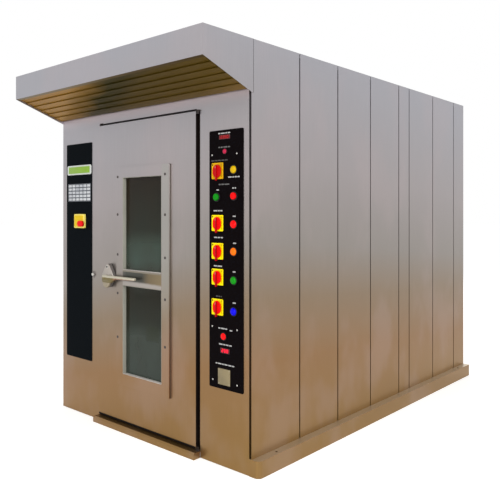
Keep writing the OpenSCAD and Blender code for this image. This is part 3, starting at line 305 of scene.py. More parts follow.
# %% Brushed steel
SHEET_TINTS = [
    (0.00, (139, 108, 62)), (0.22, (140, 107, 72)), (0.37, (138, 119, 98)),
    (0.50, (146, 139, 133)), (0.70, (161, 154, 154)), (1.00, (164, 163, 169)),
]
CLOUD_PINK = paint(176, 158, 158)
SHEET_TOP = 2.3
CABINET_HALF = 0.9
TINT_FALL = 0.07
TINT_LEAN = 0.2
GRAIN = (260, 260, 5)
CLOUDS = (2.5, 2.5, 1.6)
WAVES = (2.2, 2.2, 3.1)
WAVE_DEPTH = 0.0006
CLOUD_SHARE = 0.15
CLOUD_SHADE = 0.1
STREAK_SHADE = 0.16
STREAK_ROUGH = 0.18
SHEET_METAL = 0.85


def steel(name, tints, rough=0.36, over=None):
    """Ground stainless sheet. The tints run from the floor to the roof; over() may change them."""
    n = new_finish(name)
    lean = (CABINET_HALF - n.part("X")) * TINT_LEAN
    height = (n.part("Z") + n.part("Y") * TINT_FALL + lean) / SHEET_TOP
    streaks = n.noise(GRAIN, detail=4)
    clouds = n.noise(CLOUDS, detail=3)
    tint = n.mix(n.ramp(height, tints), CLOUD_PINK, clouds.above(0.56, 0.10) * CLOUD_SHARE)
    ground = n.shaded(tint, (streaks - 0.5) * STREAK_SHADE + (clouds - 0.5) * CLOUD_SHADE + 1.0)
    if over:
        ground = over(n, ground)
    normal = n.bump(n.noise(WAVES, detail=1) + streaks * 0.02, WAVE_DEPTH)
    n.show(ground, (streaks - 0.5) * STREAK_ROUGH + rough, SHEET_METAL, Normal=normal)


steel("casing_steel", SHEET_TINTS)
steel("inner_steel", [(0, (150, 146, 140)), (1, (172, 169, 165))], rough=0.34)
print("steels:", sorted(finishes))

# %% [markdown]
# # What the sheets mirror
# Some sheets mirror what is near them. The rail between the windows shows a dark band, the front
# shows the bright slats above it, the plinth's ledge shows the sky and the hood's lip the ground.
# The render could find them by itself only with the whole room built around it. Here each is a
# mask over the plain steel, from the place on the sheet or from where its face looks.

# %% Mirror images
RAIL_TINTS = [
    (0.00, (96, 94, 88)), (0.12, (62, 66, 60)), (0.52, (60, 62, 56)),
    (0.68, (110, 96, 70)), (1.00, (130, 114, 84)),
]
RAIL_X = (-0.172, 0.203)
RAIL_Z = (0.927, 1.022)
RAIL_FOOT = 0.953
RAIL_LIP = 1.013
STILE_FROM = 0.207
KNUCKLES_FROM = 0.4868
SLATS_SHOW_FROM = 2.02


def rail_mirror(n, ground):
    """What the rail between the windows mirrors: dark at the left, tan at the right, a pale foot."""
    foot, lip, light = paint(166, 159, 153), paint(134, 126, 112), paint(160, 162, 153)
    x, z = n.part("X"), n.part("Z")
    waver = (n.noise((30, 30, 30), detail=2) - 0.5) * 0.02
    band = n.ramp((x + waver - RAIL_X[0]) / (RAIL_X[1] - RAIL_X[0]), RAIL_TINTS)
    below = 1 - (z + waver * 0.3 + x * 0.02).above(RAIL_FOOT, 0.008)
    rail = n.mix(n.mix(band, foot, below), lip, z.above(RAIL_LIP, 0.002))
    # Painted highlight: the stile right of the windows is lightened from about 0.8 m up.
    stile = x.above(STILE_FROM, 0.003) * z.above(0.8, 0.2) * 0.4
    inside = z.between(RAIL_Z, 0.003) * x.between(RAIL_X, 0.003)
    return n.mix(n.mix(ground, light, stile), rail, inside * 0.9)


def hinge_shade(n, ground):
    """Painted shade: the knuckles by the door leaf, in the hinge gap, are painted near black."""
    return n.mix(ground, paint(30, 24, 22), n.part("X").above(KNUCKLES_FROM, 0.0005) * 0.97)


def lip_shade(n, ground):
    """The hood's lower lip faces down, so it mirrors the ground as the slats do."""
    return n.mix(ground, paint(92, 72, 26), (0 - n.facing_up()).above(0.7, 0.2))


def hood_mirror(n, ground):
    """Under the hood the front mirrors the bright slats, which lifts it out of their shadow."""
    return n.mix(ground, paint(204, 184, 186), n.part("Z").above(SLATS_SHOW_FROM, 0.06) * 0.8)


def ledge_light(n, ground):
    """The plinth's ledge faces up, so it mirrors the sky."""
    return n.mix(ground, paint(214, 200, 178), n.facing_up().above(0.7, 0.2))


for name, over in (
    ("frame_steel", rail_mirror), ("door_steel", hinge_shade), ("hood_steel", lip_shade),
    ("front_steel", hood_mirror), ("plinth_steel", ledge_light),
):
    steel(name, SHEET_TINTS, over=over)
print("steels:", sorted(finishes))

# %% [markdown]
# # Hood underside
# The slats below the hood are polished, and they mirror the ground in brown. Towards the hood's left
# end they catch a bright tan patch. The colours lie in slanting bands, so they are one ramp over X,
# which shifts with Y, and noise blurs its edges. A painted picture would have to be unfolded for
# each slat.

# %% Polished slats
SLAT_TINTS = [
    (0.00, (142, 100, 26)), (0.24, (152, 110, 32)), (0.35, (118, 88, 26)),
    (0.43, (58, 50, 8)), (0.49, (62, 52, 9)), (0.57, (84, 66, 14)),
    (0.84, (100, 78, 24)), (1.00, (126, 96, 36)),
]
SLANT = 1.9
SLATS_FRONT = -1.552
BANDS_ACROSS = 2.5
n = new_finish("polished_steel")
across = (n.part("X") + (n.part("Y") - SLATS_FRONT) * SLANT + CABINET_HALF) / BANDS_ACROSS
blur = (n.noise((5, 9, 5), detail=3) - 0.5) * 0.12
scratches = n.noise((5, 300, 300), detail=3)
bands = n.shaded(n.ramp(across + blur, SLAT_TINTS), (scratches - 0.5) * 0.3 + 1.0)
n.show(bands, scratches * 0.2 + 0.3, 0.3, Specular_IOR_Level=0.05, Normal=n.bump(scratches, 0.0001))
print("slat bands:", len(SLAT_TINTS))

# %% [markdown]
# # Painted, moulded and raw finishes
# Most other parts are one colour with a history: enamel with orange peel and dust, moulded plastic
# with a soft grain, cast alloy, rubber, mineral wool. They differ in numbers more than in kind, so
# one function makes them all from a colour, a second colour for the blotches, and two grains.

# %% Metal, enamel and rubber


def coat(name, colour, blotch, grain=400, depth=0.00004, rough=0.45, metal=0.0, share=0.5, **more):
    """A finish of one colour with blotches of another and a grain in its surface."""
    n = new_finish(name)
    fine = n.noise((grain, grain, grain), detail=3)
    broad = n.noise((9, 9, 9), detail=4)
    blotched = broad.above(0.55, 0.25) * share + (fine - 0.5) * 0.2 * share
    mixed = n.mix(paint(*colour), paint(*blotch), blotched)
    normal = n.bump(fine, depth)
    n.show(mixed, (fine - 0.5) * 0.2 + (broad - 0.5) * 0.15 + rough, metal, Normal=normal, **more)


coat("heat_steel", (112, 100, 92), (92, 74, 84), grain=120, rough=0.5, metal=0.8)
coat("machine_steel", (142, 140, 138), (116, 112, 108), grain=700, rough=0.34, metal=0.9)
coat("screw_steel", (198, 196, 190), (170, 166, 160), grain=1500, rough=0.3, metal=0.9)
coat("screw_dark", (66, 58, 56), (48, 42, 42), grain=1500, rough=0.5, metal=0.3)
coat("stud_bright", (196, 194, 188), (170, 166, 160), grain=1500, rough=0.35, metal=0.2)
coat("hinge_dark", (58, 50, 46), (40, 34, 32), grain=500, rough=0.5, metal=0.4)
coat("cast_alloy", (170, 162, 154), (140, 132, 124), grain=500, rough=0.4, metal=0.5)
# cast_shade is the alloy made darker: painted shade on the rose's flank and the keeper's plate.
coat("cast_shade", (112, 106, 103), (96, 90, 87), grain=200, rough=0.5, metal=0.3)
coat("boss_tan", (152, 140, 118), (130, 118, 96), grain=300, rough=0.45, metal=0.3)
coat("bead_cream", (150, 149, 138), (134, 131, 119), grain=700, rough=0.5)
# bead_bright is the bead's colour made lighter: a painted highlight on the lowest bead.
coat("bead_bright", (196, 190, 184), (180, 172, 164), grain=700, rough=0.5)
coat("burner_red", (164, 52, 36), (140, 42, 32), rough=0.38, Coat_Weight=0.3)
coat("motor_blue", (62, 92, 122), (50, 76, 104), rough=0.42, Coat_Weight=0.25)
coat("wool", (206, 190, 132), (176, 156, 96), grain=160, depth=0.004, rough=0.95, share=0.8)
# seal_black is black rubber; in the door's gaps, screw slots and sockets it is also painted shade.
coat("seal_black", (16, 10, 8), (24, 16, 12), grain=900, rough=0.62, Specular_IOR_Level=0.1)
coat("joint_brown", (88, 74, 66), (72, 58, 50), grain=700, rough=0.7, Specular_IOR_Level=0.1)
print("finishes:", len(finishes))

# %% Plastic and printing


def moulded(name, colour, blotch, sheen=0.12, rough=0.4, grain=1200):
    """Moulded plastic: an even colour and a very fine grain."""
    coat(name, colour, blotch, grain=grain, rough=rough, Specular_IOR_Level=sheen)


moulded("switch_yellow", (255, 232, 0), (250, 218, 0), sheen=0.1)
moulded("switch_yellow_dim", (220, 168, 10), (206, 152, 8), sheen=0.1, rough=0.42)
moulded("switch_gold", (226, 192, 8), (214, 176, 6), sheen=0.2)
moulded("starter_pale", (240, 222, 112), (228, 208, 90), sheen=0.15)
moulded("knob_red", (232, 4, 8), (216, 2, 6))
moulded("knob_red_dim", (190, 8, 12), (172, 6, 10))
# ridge_red is the knob's red made darker: painted shade on the finger ridge.
moulded("ridge_red", (168, 4, 10), (148, 4, 8), sheen=0.15)
moulded("button_green", (4, 134, 12), (3, 118, 8))
moulded("unit_cream", (208, 212, 206), (190, 196, 190), sheen=0.3, rough=0.42, grain=1400)
moulded("ring_grey", (14, 13, 14), (22, 20, 22), sheen=0.2, rough=0.55, grain=900)
moulded("display_dark", (104, 10, 18), (84, 8, 14), sheen=0.2, grain=600)
coat("display_bezel", (60, 20, 24), (44, 14, 18), grain=900, rough=0.4)
coat("label_tan", (138, 124, 92), (118, 106, 76), grain=600, rough=0.5, metal=0.2)
coat("pad_grey", (86, 90, 96), (66, 70, 78), grain=200, rough=0.55)
coat("pad_pale", (204, 206, 208), (150, 154, 164), grain=160, rough=0.55, share=0.9)
for shade, grey in (("white", 168), ("grey", 92), ("faint", 58)):
    coat("legend_" + shade, (grey, grey, grey - 2), (grey - 24, grey - 26, grey - 26),
         grain=260, rough=0.6)
print("finishes:", len(finishes))

# %% [markdown]
# # Lit parts
# Lamp caps, figures and the green screen are coloured plastic with light behind it. A small lamp in
# each would speckle the render. A little glow of the same colour over the whole part keeps the
# colour clean from every side.

# %% Glowing plastics


def glowing(name, colour, blotch, strength):
    coat(name, colour, blotch, grain=800, rough=0.3, Specular_IOR_Level=0.15,
         Emission_Color=paint(*colour), Emission_Strength=strength)


glowing("lens_pink", (178, 30, 66), (156, 22, 54), 0.1)
glowing("lens_yellow", (202, 164, 0), (172, 134, 0), 0.05)
glowing("lens_red", (244, 2, 6), (226, 0, 4), 0.25)
glowing("lens_orange", (244, 108, 0), (226, 92, 0), 0.2)
glowing("lens_green", (4, 136, 10), (3, 120, 6), 0.15)
glowing("lens_blue", (4, 0, 214), (3, 0, 196), 0.12)
glowing("figure_dim", (176, 34, 36), (160, 28, 32), 0.15)
glowing("figure_bright", (255, 24, 56), (255, 16, 48), 0.9)
glowing("screen_green", (134, 172, 62), (118, 154, 52), 0.05)
print("glowing:", [name for name in finishes if name.startswith(("lens", "figure", "screen"))])

# %% [markdown]
# # Lever
# The lever's upper half is cream and its lower half olive brown, as it mirrors the sky and the ground.
# Two materials would need a seam along the bar. One mask over the height does it, and noise makes
# the edge uneven. The brown is redder beyond the lever's head.

# %% Lever with painted reflections of sky and ground
TONE_EDGE = 0.969
HEAD_END = -0.215
n = new_finish("cast_lever")
scuff = n.noise((60, 60, 160), detail=4)
upper = (n.part("Z") + (scuff - 0.5) * 0.006).above(TONE_EDGE, 0.003)
beyond_head = n.part("X").above(HEAD_END, 0.02)
brown = n.mix(paint(104, 90, 42), paint(140, 98, 76), beyond_head)
cream = n.mix(paint(170, 163, 142), paint(194, 188, 170), scuff)
n.show(n.mix(brown, cream, upper), scuff * 0.2 + 0.3, 0.2, Normal=n.bump(scuff, 0.0002))
print("cream above", TONE_EDGE, "m")

# %% [markdown]
# # Black control plates
# The plates are a nearly matt black, a little bluer on the left plate and browner on the right, with
# a faint bluish speckle as wrinkle paint has. Wrinkles in the mesh would be far too many faces. The
# speckle is cell noise cut at a low threshold, so only the cells' hearts show.

# %% Speckled black
n = new_finish("plate_black")
cells = n.add("TexVoronoi", values={"Vector": n.place(), "Scale": 420.0})
dust = n.noise((60, 60, 60), detail=3)
speck = (1 - cells.above(0.22, 0.10)) * dust.above(0.52, 0.12)
black = n.mix(paint(4, 8, 12), paint(9, 5, 6), n.part("X").above(0, 0.3))
n.show(n.mix(black, paint(44, 54, 68), speck * 0.4), 0.5 + dust * 0.15, 0.0,
       Specular_IOR_Level=0.02, Normal=n.bump(cells, 0.00008))
print("finishes:", len(finishes))

# %% [markdown]
# # Window panes
# Behind the door's panes the chamber is unlit, and clear glass would show only noise from the dark
# room behind. The panes look dark grey-green, browner above and at their left edge and more teal
# below, with a dim block in the lower one. All of it is painted into their colour: painted light
# from the chamber and painted reflections, the dim block among them. The panes let a little
# through, and the colour changes over their height in each window.

# %% Glass
PANE_TINTS = [
    (0.00, (60, 70, 64)), (0.20, (62, 71, 64)), (0.27, (38, 45, 37)),
    (0.41, (28, 30, 20)), (0.50, (58, 60, 52)), (0.58, (64, 78, 70)),
    (0.66, (60, 73, 64)), (0.73, (38, 44, 36)), (1.00, (32, 26, 18)),
]
PANES_LOW = 0.362
PANES_HIGH = 1.610
BROWN_TO = -0.13
REFLECTED_BLOCK_X = (0.03, 0.15)
REFLECTED_BLOCK_Z = (0.60, 0.69)
n = new_finish("pane")
# The view through the panes and their reflections are painted into the colour over their height.
rise = (n.part("Z") - PANES_LOW) / (PANES_HIGH - PANES_LOW)
smudge_and_painted_blotch = n.noise((7, 7, 4), detail=2)
painted_view_by_height = n.ramp(rise + (smudge_and_painted_blotch - 0.5) * 0.05, PANE_TINTS)
brown_edge = 1 - n.part("X").above(BROWN_TO, 0.07)
painted_view = n.mix(painted_view_by_height, paint(44, 30, 18), (1 - smudge_and_painted_blotch.above(0.5, 0.3)) * 0.25 + brown_edge * 0.3)
# A dim block painted into the lower pane: a painted reflection.
reflected_block = n.part("X").between(REFLECTED_BLOCK_X, 0.012) * n.part("Z").between(REFLECTED_BLOCK_Z, 0.012)
painted_view = n.mix(painted_view, paint(40, 46, 26), reflected_block * 0.45)
n.show(painted_view, 0.08 + smudge_and_painted_blotch * 0.12, 0.0, Alpha=0.9, Specular_IOR_Level=0.12,
       Normal=n.bump(smudge_and_painted_blotch, 0.0002))
print("panes from", PANES_LOW, "to", PANES_HIGH, "m")

# %% [markdown]
# # Which part wears which finish
# The packed record already names a finish for each node, so the nodes are dressed in one loop. A
# few nodes wear a finish that is made for them alone.

# %% Dress the nodes
slot_of = {row["node"]: row["material_slot"] for row in frame["record"]["subparts"]}
STAND_INS = {"lens_amber": "lens_orange", "display_red": "display_dark", "label_grey": "label_tan",
             "cast_handle": "cast_alloy"}
OWN_FINISH = {"window_frame": "frame_steel", "hinge_brackets": "hinge_dark", "door_skin": "door_steel",
              "base_frame": "plinth_steel", "hood_shell": "hood_steel", "front_panel": "front_steel"}
for name, node in nodes.items():
    slot = slot_of[name]
    node.data.materials.clear()
    node.data.materials.append(finishes[OWN_FINISH.get(name) or STAND_INS.get(slot, slot)])
print("dressed:", len(nodes))

# %% [markdown]
# # How the small parts are built
# Knobs, rings and buttons are moulded or turned, so their sides are drafted and their rims round. All
# of them are lofts: an outline is swept away from the plate while it is inset a little at each
# height, as a mould maker would dimension them. Bevelled cubes and cylinders would do for a distant
# view, but not for a dished cap or an oval palm button. The lofts are drawn in millimetres.

# %% Outlines
CORNER_SHARE = 0.45


def hull_of(centres, radius, steps=48):
    """The outline of a band drawn tight round equal discs, anticlockwise."""
    outline = []
    for step in range(steps):
        turn = 2 * math.pi * (step + 0.5) / steps
        across, up = math.cos(turn), math.sin(turn)
        furthest = max(centres, key=lambda centre: centre[0] * across + centre[1] * up)
        outline.append((furthest[0] + radius * across, furthest[1] + radius * up))
    return outline


def disc(radius, steps=40):
    return hull_of([(0, 0)], radius, steps)


def rounded(width, height, radius, steps=20):
    """The outline of a plate with round corners."""
    x, y = width / 2 - radius, height / 2 - radius
    return hull_of([(x, y), (-x, y), (-x, -y), (x, -y)], radius, steps)


def softened(corners, radius, steps=4):
    """A drawn outline with each of its corners turned into a small arc."""
    outline = []
    for i, corner in enumerate(corners):
        here = Vector(corner)
        edges = [Vector(corners[i - 1]) - here, Vector(corners[(i + 1) % len(corners)]) - here]
        first, last = [here + edge.normalized() * min(radius, edge.length * CORNER_SHARE)
                       for edge in edges]
        for step in range(steps + 1):
            share = step / steps
            point = first.lerp(here, share).lerp(here.lerp(last, share), share)
            outline.append(tuple(point))
    return outline


def outward(outline):
    """For each point of an outline, the step that moves both its edges out by one."""
    steps = []
    for i, point in enumerate(outline):
        before = Vector(point) - Vector(outline[i - 1])
        after = Vector(outline[(i + 1) % len(outline)]) - Vector(point)
        first, last = [Vector((edge.y, -edge.x)).normalized() for edge in (before, after)]
        steps.append((first + last) / (1 + first.dot(last)))
    return steps


print("points of a disc:", len(disc(1)))

# %% Lofted pieces
FACINGS = {
    "front": (Vector((1, 0, 0)), Vector((0, 0, 1)), Vector((0, -1, 0))),
    "right": (Vector((0, 1, 0)), Vector((0, 0, 1)), Vector((1, 0, 0))),
}
SMOOTH_BELOW = math.radians(38)


class Piece:
    """Closed solids lofted from outlines, in millimetres in the oven's frame."""

    def __init__(self):
        self.mesh = bmesh.new()
        self.finishes = []

    def loft(self, outline, profile, at, finish, base=0, facing="front"):
        """Sweeps an outline outwards; the profile lists (inset, height over the base) pairs."""
        if finish not in self.finishes:
            self.finishes.append(finish)
        across, up, out = FACINGS[facing]
        steps = outward(outline)
        rings = []
        for inset, height in profile:
            start = at + out * (base + height)
            ring = [Vector(point) - step * inset for point, step in zip(outline, steps)]
            rings.append([self.mesh.verts.new((start + across * point.x + up * point.y) * MM)
                          for point in ring])
        faces = [rings[0][::-1], rings[-1]]
        for low, high in zip(rings, rings[1:]):
            for i in range(len(low)):
                faces.append((low[i - 1], low[i], high[i], high[i - 1]))
        for corners in faces:
            face = self.mesh.faces.new(corners)
            face.material_index = self.finishes.index(finish)
            face.smooth = True

    def place(self, name, body, slot, *replaced):
        """Makes the piece, which rides on a body and may stand for CAD nodes."""
        mesh = bpy.data.meshes.new(name)
        self.mesh.to_mesh(mesh)
        self.mesh.free()
        for finish in self.finishes:
            mesh.materials.append(finishes[finish])
        mesh.set_sharp_from_angle(angle=SMOOTH_BELOW)
        piece = bpy.data.objects.new(name, mesh)
        scene.collection.objects.link(piece)
        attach(piece, body)
        if replaced:
            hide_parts(*replaced)
        print(f"{name}: {len(mesh.polygons)} faces, on {body}")


print("facings:", sorted(FACINGS))

# %% [markdown]
# # Places from the frame
# Typed places would drift off their holes when the oven is packed anew. So a small part takes its
# place from the box of the CAD solid that it stands for. A node may hold several solids, such as
# seven lamp caps. They share no edge, so a walk along the edges tells them apart.

# %% Boxes and solids


def box_mm(name):
    return [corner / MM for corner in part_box(name)]


def solids(name):
    """The boxes of a node's separate solids in millimetres, from the top down."""
    solid = bmesh.new()
    solid.from_mesh(nodes[name].data)
    bmesh.ops.remove_doubles(solid, verts=solid.verts, dist=1e-6)
    boxes = []
    left = set(solid.verts)
    while left:
        island, queue = set(), [left.pop()]
        while queue:
            vert = queue.pop()
            island.add(vert)
            for edge in vert.link_edges:
                other = edge.other_vert(vert)
                if other in left:
                    left.remove(other)
                    queue.append(other)
        axes = list(zip(*[vert.co / MM for vert in island]))
        boxes.append([Vector([edge(axis) for axis in axes]) for edge in (min, max)])
    solid.free()
    return sorted(boxes, key=lambda box: -box[0].z)


def seat(box):
    """A box's middle on the cabinet's front face, its size, and how far it stands out from there."""
    middle = (box[0] + box[1]) / 2
    return Vector((middle.x, FACE_Y, middle.z)), box[1] - box[0], FACE_Y - box[0].y


FACE_Y = box_mm("front_panel")[0].y
PLATE_T = FACE_Y - box_mm("control_plates")[0].y
DOOR_FRONT = FACE_Y - box_mm("door_skin")[0].y
print("front face at", round(FACE_Y), "mm, plates", round(PLATE_T, 1), "mm thick")

# %% [markdown]
# # Lamps
# A pilot lamp is a plated ring screwed through the plate, with a domed coloured cap in it. The ring's
# rim is rounded and its inside falls away to the cap. Behind the plate sit the threaded neck and its
# nut. Half a sphere in a tube would miss the rim, so ring and cap are lofts of a disc, and one list
# of heights serves all sizes.

# %% Lamps and their rings
LAMP_COLOURS = ["pink", "yellow", "red", "orange", "green", "blue", "red"]
LOWEST_LAMP_GROWS = 5
WIDE_LENS_R = 15
RING_RISE = 6
RIM = [(0, 0), (0, 4), (0.6, 5.4), (2, RING_RISE)]
WELL_DEPTH = 12
rings = Piece()
domes = Piece()
lens_boxes = solids("lamp_lenses")
for box, colour in zip(lens_boxes, LAMP_COLOURS):
    at, size, front = seat(box)
    lens_r = size.x / 2 + (LOWEST_LAMP_GROWS if box is lens_boxes[-1] else 0)
    wide = lens_r > WIDE_LENS_R
    wall = 5 if wide else 4
    neck_r = 10 if wide else 8
    rings.loft(disc(lens_r + wall), RIM + [(wall - 1, RING_RISE), (wall - 0.2, 5), (wall, 2)],
               at, "ring_grey", PLATE_T)
    rings.loft(disc(neck_r, 24), [(0, -24), (0, PLATE_T)], at, "machine_steel")
    rings.loft(disc(neck_r + 5, 6), [(0, -8), (0, -2)], at, "machine_steel")
    dome = front - PLATE_T - RING_RISE
    curve = [math.radians(turn) for turn in range(0, 90, 15)]
    domes.loft(disc(lens_r), [(0.3, 2 - RING_RISE)] + [
        (lens_r * (1 - math.cos(turn) * 0.98), dome * math.sin(turn)) for turn in curve
    ], at, "lens_" + colour, PLATE_T + RING_RISE)
for name in ("start_button", "stop_button"):
    at = seat(box_mm(name))[0]
    rings.loft(disc(26), RIM + [(6, RING_RISE), (6.9, 5), (6.9, -WELL_DEPTH - PLATE_T)],
               at, "ring_grey", PLATE_T)
    rings.loft(disc(21, 24), [(0, -30), (0, -WELL_DEPTH)], at, "seal_black")
rings.place("lamp_and_button_rings", "cabinet", "ring_grey", "lamp_rings")
domes.place("lamp_domes", "cabinet", "lens_amber", "lamp_lenses")

# %% [markdown]
# # Push buttons
# A push button is a round cap that slides in its ring, with a drafted side and a shallow dish for the
# finger. It is a piece of its own, because it moves with its plunger while the ring stays. The last
# insets of its loft make the dish, which a bevelled cylinder wouldn't have.

# %% Button caps
for name, body, finish in (("start_button", "start_plunger", "button_green"),
                           ("stop_button", "stop_plunger", "knob_red")):
    at, size, front = seat(box_mm(name))
    cap = Piece()
    cap.loft(disc(size.x / 2), [
        (0.2, -size.y), (0.2, -3), (0.7, -1.2), (2.2, -0.2), (3.5, 0), (5, -0.4), (12, -1.4)
    ], at, finish, front)
    cap.place(name.replace("button", "cap"), body, finish, name)

# %% [markdown]
# # Selector switches
# Each is a square yellow plate with a rolled rim, an oval red base and a thin finger ridge with a
# tail. The marks are only 0 and 1. Behind the plate is the contact block, with the screws of its
# terminals. The five are alike, so a loop makes them, and each knob rides on its own body.

# %% Switch plates and knobs
SWITCH_T = 4
KNOB_GAP = 0.3
KNOB_BASE = PLATE_T + SWITCH_T + KNOB_GAP
MARK_BASE = 6
MARK_SIDE = 36
TERMINALS = ((-12, 14), (12, 14), (-12, -14), (12, -14))
switch_plates = Piece()
marks = Piece()
for number, box in enumerate(solids("selector_switches"), start=1):
    at, size = seat(box)[:2]
    dim = "_dim" if number == 1 else ""
    switch_plates.loft(rounded(size.x - 6, size.x - 3, 5), [
        (0, 0), (0, 2.5), (0.5, 3.6), (1.6, SWITCH_T), (4.5, SWITCH_T), (5.5, SWITCH_T - 0.7)
    ], at, "switch_yellow" + dim, PLATE_T)
    switch_plates.loft(rounded(38, 44, 3), [(0, -52), (0, -4), (1, -2)], at, "unit_cream")
    for across, up in TERMINALS:
        switch_plates.loft(disc(3.5, 16), [(0, -53), (0, -51)], at + Vector((across, 0, up)),
                           "screw_steel")
    mark_z = size.x / 2 - 11
    marks.loft(rounded(2.4, 11, 0.8, 8), [(0, 0), (0, 0.9)], at + Vector((MARK_SIDE, 0, mark_z)),
               "seal_black", MARK_BASE)
    marks.loft(rounded(7.5, 11, 3, 16), [(0, 0), (0, 0.9), (2.2, 0.9), (2.2, 0.4)],
               at + Vector((-MARK_SIDE, 0, mark_z)), "seal_black", MARK_BASE)
    knob = Piece()
    knob.loft(hull_of([(0, 4), (0, -8)], 30), [
        (0, 0), (0, 3.6), (0.6, 5.2), (2.2, 6), (6, 6), (9, 5.2), (13, 5)
    ], at, "knob_red" + dim, KNOB_BASE)
    # The finger ridge wears a darker red than the knob: painted shade.
    knob.loft(hull_of([(0, 24), (0, -50)], 4), [
        (0, 3), (0, 8), (0.5, 12), (1.5, 14.8), (2.6, 16), (3.4, 16)
    ], at, "ridge_red", KNOB_BASE)
    knob.loft(rounded(2, 12, 0.9, 12), [(0, 15.6), (0, 16.2)], at + Vector((0, 0, 20)),
              "legend_white", KNOB_BASE)
    knob.loft(disc(4, 20), [(0, -26), (0, KNOB_BASE + 1)], at, "machine_steel")
    knob.place(f"knob_{number}", f"selector_knob_{number}", "knob_red", f"selector_{number}")
switch_plates.place("switch_plates", "cabinet", "switch_yellow", "selector_switches")
marks.place("switch_marks", "cabinet", "seal_black")

# %% [markdown]
# # Figure displays
# Each display is a dark red window in a thin bezel. Its figures are made of seven bars, lit red. A
# text object would bring a typeface with curves that no such display has, so a figure is a list
# of the bars that are lit, and each bar is a small loft.

# %% Displays
BARS = {"a": (0, 1), "g": (0, 0), "d": (0, -1), "f": (-1, 0.5), "b": (1, 0.5), "e": (-1, -0.5),
        "c": (1, -0.5)}
FIGURES = {"0": "abcdef", "2": "abged", "3": "abgcd", "5": "afgcd", "8": "abcdefg"}
DISPLAY_FRONT = PLATE_T + 2
WINDOW_SINKS = 0.4


def figures(piece, text, middle, height, finish):
    """Writes a number in bars, as wide as it needs."""
    width = height * 0.5
    pitch = height * 0.85
    stroke = height * 0.2
    for place, figure in enumerate(text):
        at = middle + Vector(((place - (len(text) - 1) / 2) * pitch, 0, 0))
        for name in FIGURES[figure]:
            across, up = BARS[name]
            flat = across == 0
            length, thick = (width - stroke, stroke) if flat else (stroke, height / 2 - stroke)
            shift = Vector((across * width / 2, 0, up * (height - stroke) / 2))
            piece.loft(rounded(length, thick, stroke / 3, 8), [(0, 0), (0, 0.3)], at + shift, finish)


displays = Piece()
for box, text, lit in zip(solids("displays"), ("2350", "288"), ("figure_dim", "figure_bright")):
    at, size = seat(box)[:2]
    displays.loft(rounded(size.x, size.z, 2), [
        (0, PLATE_T - DISPLAY_FRONT), (0, -0.6), (0.6, 0), (2, 0), (2.6, -0.5)
    ], at, "display_bezel", DISPLAY_FRONT)
    displays.loft(rounded(size.x - 5, size.z - 5, 1), [(0, -0.5), (0, -WINDOW_SINKS)], at,
                  "display_dark", DISPLAY_FRONT)
    figures(displays, text, at - Vector((0, DISPLAY_FRONT - WINDOW_SINKS, 0)), size.z * 0.74, lit)
displays.place("figure_displays", "cabinet", "display_red", "displays")

# %% [markdown]
# # Printing and screws on the control plate
# Beside the switches and lamps lie captions, rows of short pale bars, and six screws hold the plate.
# Each row is cut into bars of uneven length, a few tenths of a millimetre thick, by random numbers
# that start alike each run. A picture on the plate would stay flat.

# %% Captions
CAPTIONS = [
    (703, 1821, 90, "white"), (703, 1745, 88, "grey"), (667, 1674, 124, "faint"),
    (775, 1580, 84, "white"), (701, 1542, 80, "grey"), (654, 1512, 19, "white"),
    (777, 1520, 28, "white"), (656, 1398, 68, "white"), (778, 1368, 22, "white"),
    (660, 1251, 68, "white"), (780, 1223, 22, "white"), (655, 1094, 63, "white"),
    (777, 1069, 20, "white"), (663, 928, 44, "faint"), (778, 902, 22, "white"),
    (692, 755, 67, "white"), (754, 750, 18, "white"), (712, 668, 96, "white"),
    (708, 560, 140, "white"),
]
CAPTION_H = 7
BAR_LENGTHS = (12, 30)
BAR_GAP = 4
BAR_SHORTEST = 5
REST_JOINS_BELOW = 8
chance = random.Random(8)
captions = Piece()
for x, z, width, shade in CAPTIONS:
    start, end = x - width / 2, x + width / 2
    while end - start > BAR_SHORTEST:
        length = min(chance.uniform(*BAR_LENGTHS), end - start)
        if end - start - length < REST_JOINS_BELOW:
            length = end - start
        at = Vector((start + length / 2, FACE_Y, z))
        captions.loft(rounded(length, CAPTION_H, 2, 12), [(0, 0), (0, 0.3)], at,
                      "legend_" + shade, PLATE_T)
        start += length + BAR_GAP
captions.place("plate_captions", "cabinet", "label_grey")

# %% Plate screws
PLATE_SCREWS = [(610, 1706), (796, 1705), (616, 465), (798, 463), (612, 759), (798, 759)]
screws = Piece()
for x, z in PLATE_SCREWS:
    at = Vector((x, FACE_Y, z))
    screws.loft(disc(5, 24), [(0, 0), (0, 0.8), (0.8, 1.6), (2.5, 2)], at, "screw_steel", PLATE_T)
    # The screw's slot is a black bar: painted shade in the slot.
    screws.loft(rounded(7, 1.2, 0.3, 8), [(0, 1.9), (0, 2.05)], at, "seal_black", PLATE_T)
screws.place("plate_screws", "cabinet", "machine_steel")

# %% [markdown]
# # What the side plate carries
# The left plate carries a process controller with a green screen, a field of pale pads, and a motor
# starter: a yellow box with a wide red palm button. Each is a case with a rounded rim, so each is
# one loft from its CAD box, with the parts of its face set on it. The blank label on the other plate
# is made with the pads, because it is a thin plate as they are.

# %% Controller
at, size, front = seat(box_mm("controller_unit"))
controller = Piece()
controller.loft(rounded(size.x, size.z, 12, 28), [
    (0, PLATE_T - front), (0, -2), (0.7, -0.6), (2.2, 0), (6, 0), (7.5, -1.6)
], at, "unit_cream", front)
controller.loft(rounded(size.x - 30, size.z - 20, 3), [(0, -2), (0, -1), (0.6, -0.7)], at,
                "screen_green", front)
controller.loft(rounded(size.x - 12.4, size.z - 12.4, 2), [(0, -60), (0, PLATE_T)], at, "unit_cream")
controller.place("controller_case", "cabinet", "unit_cream", "controller_unit")

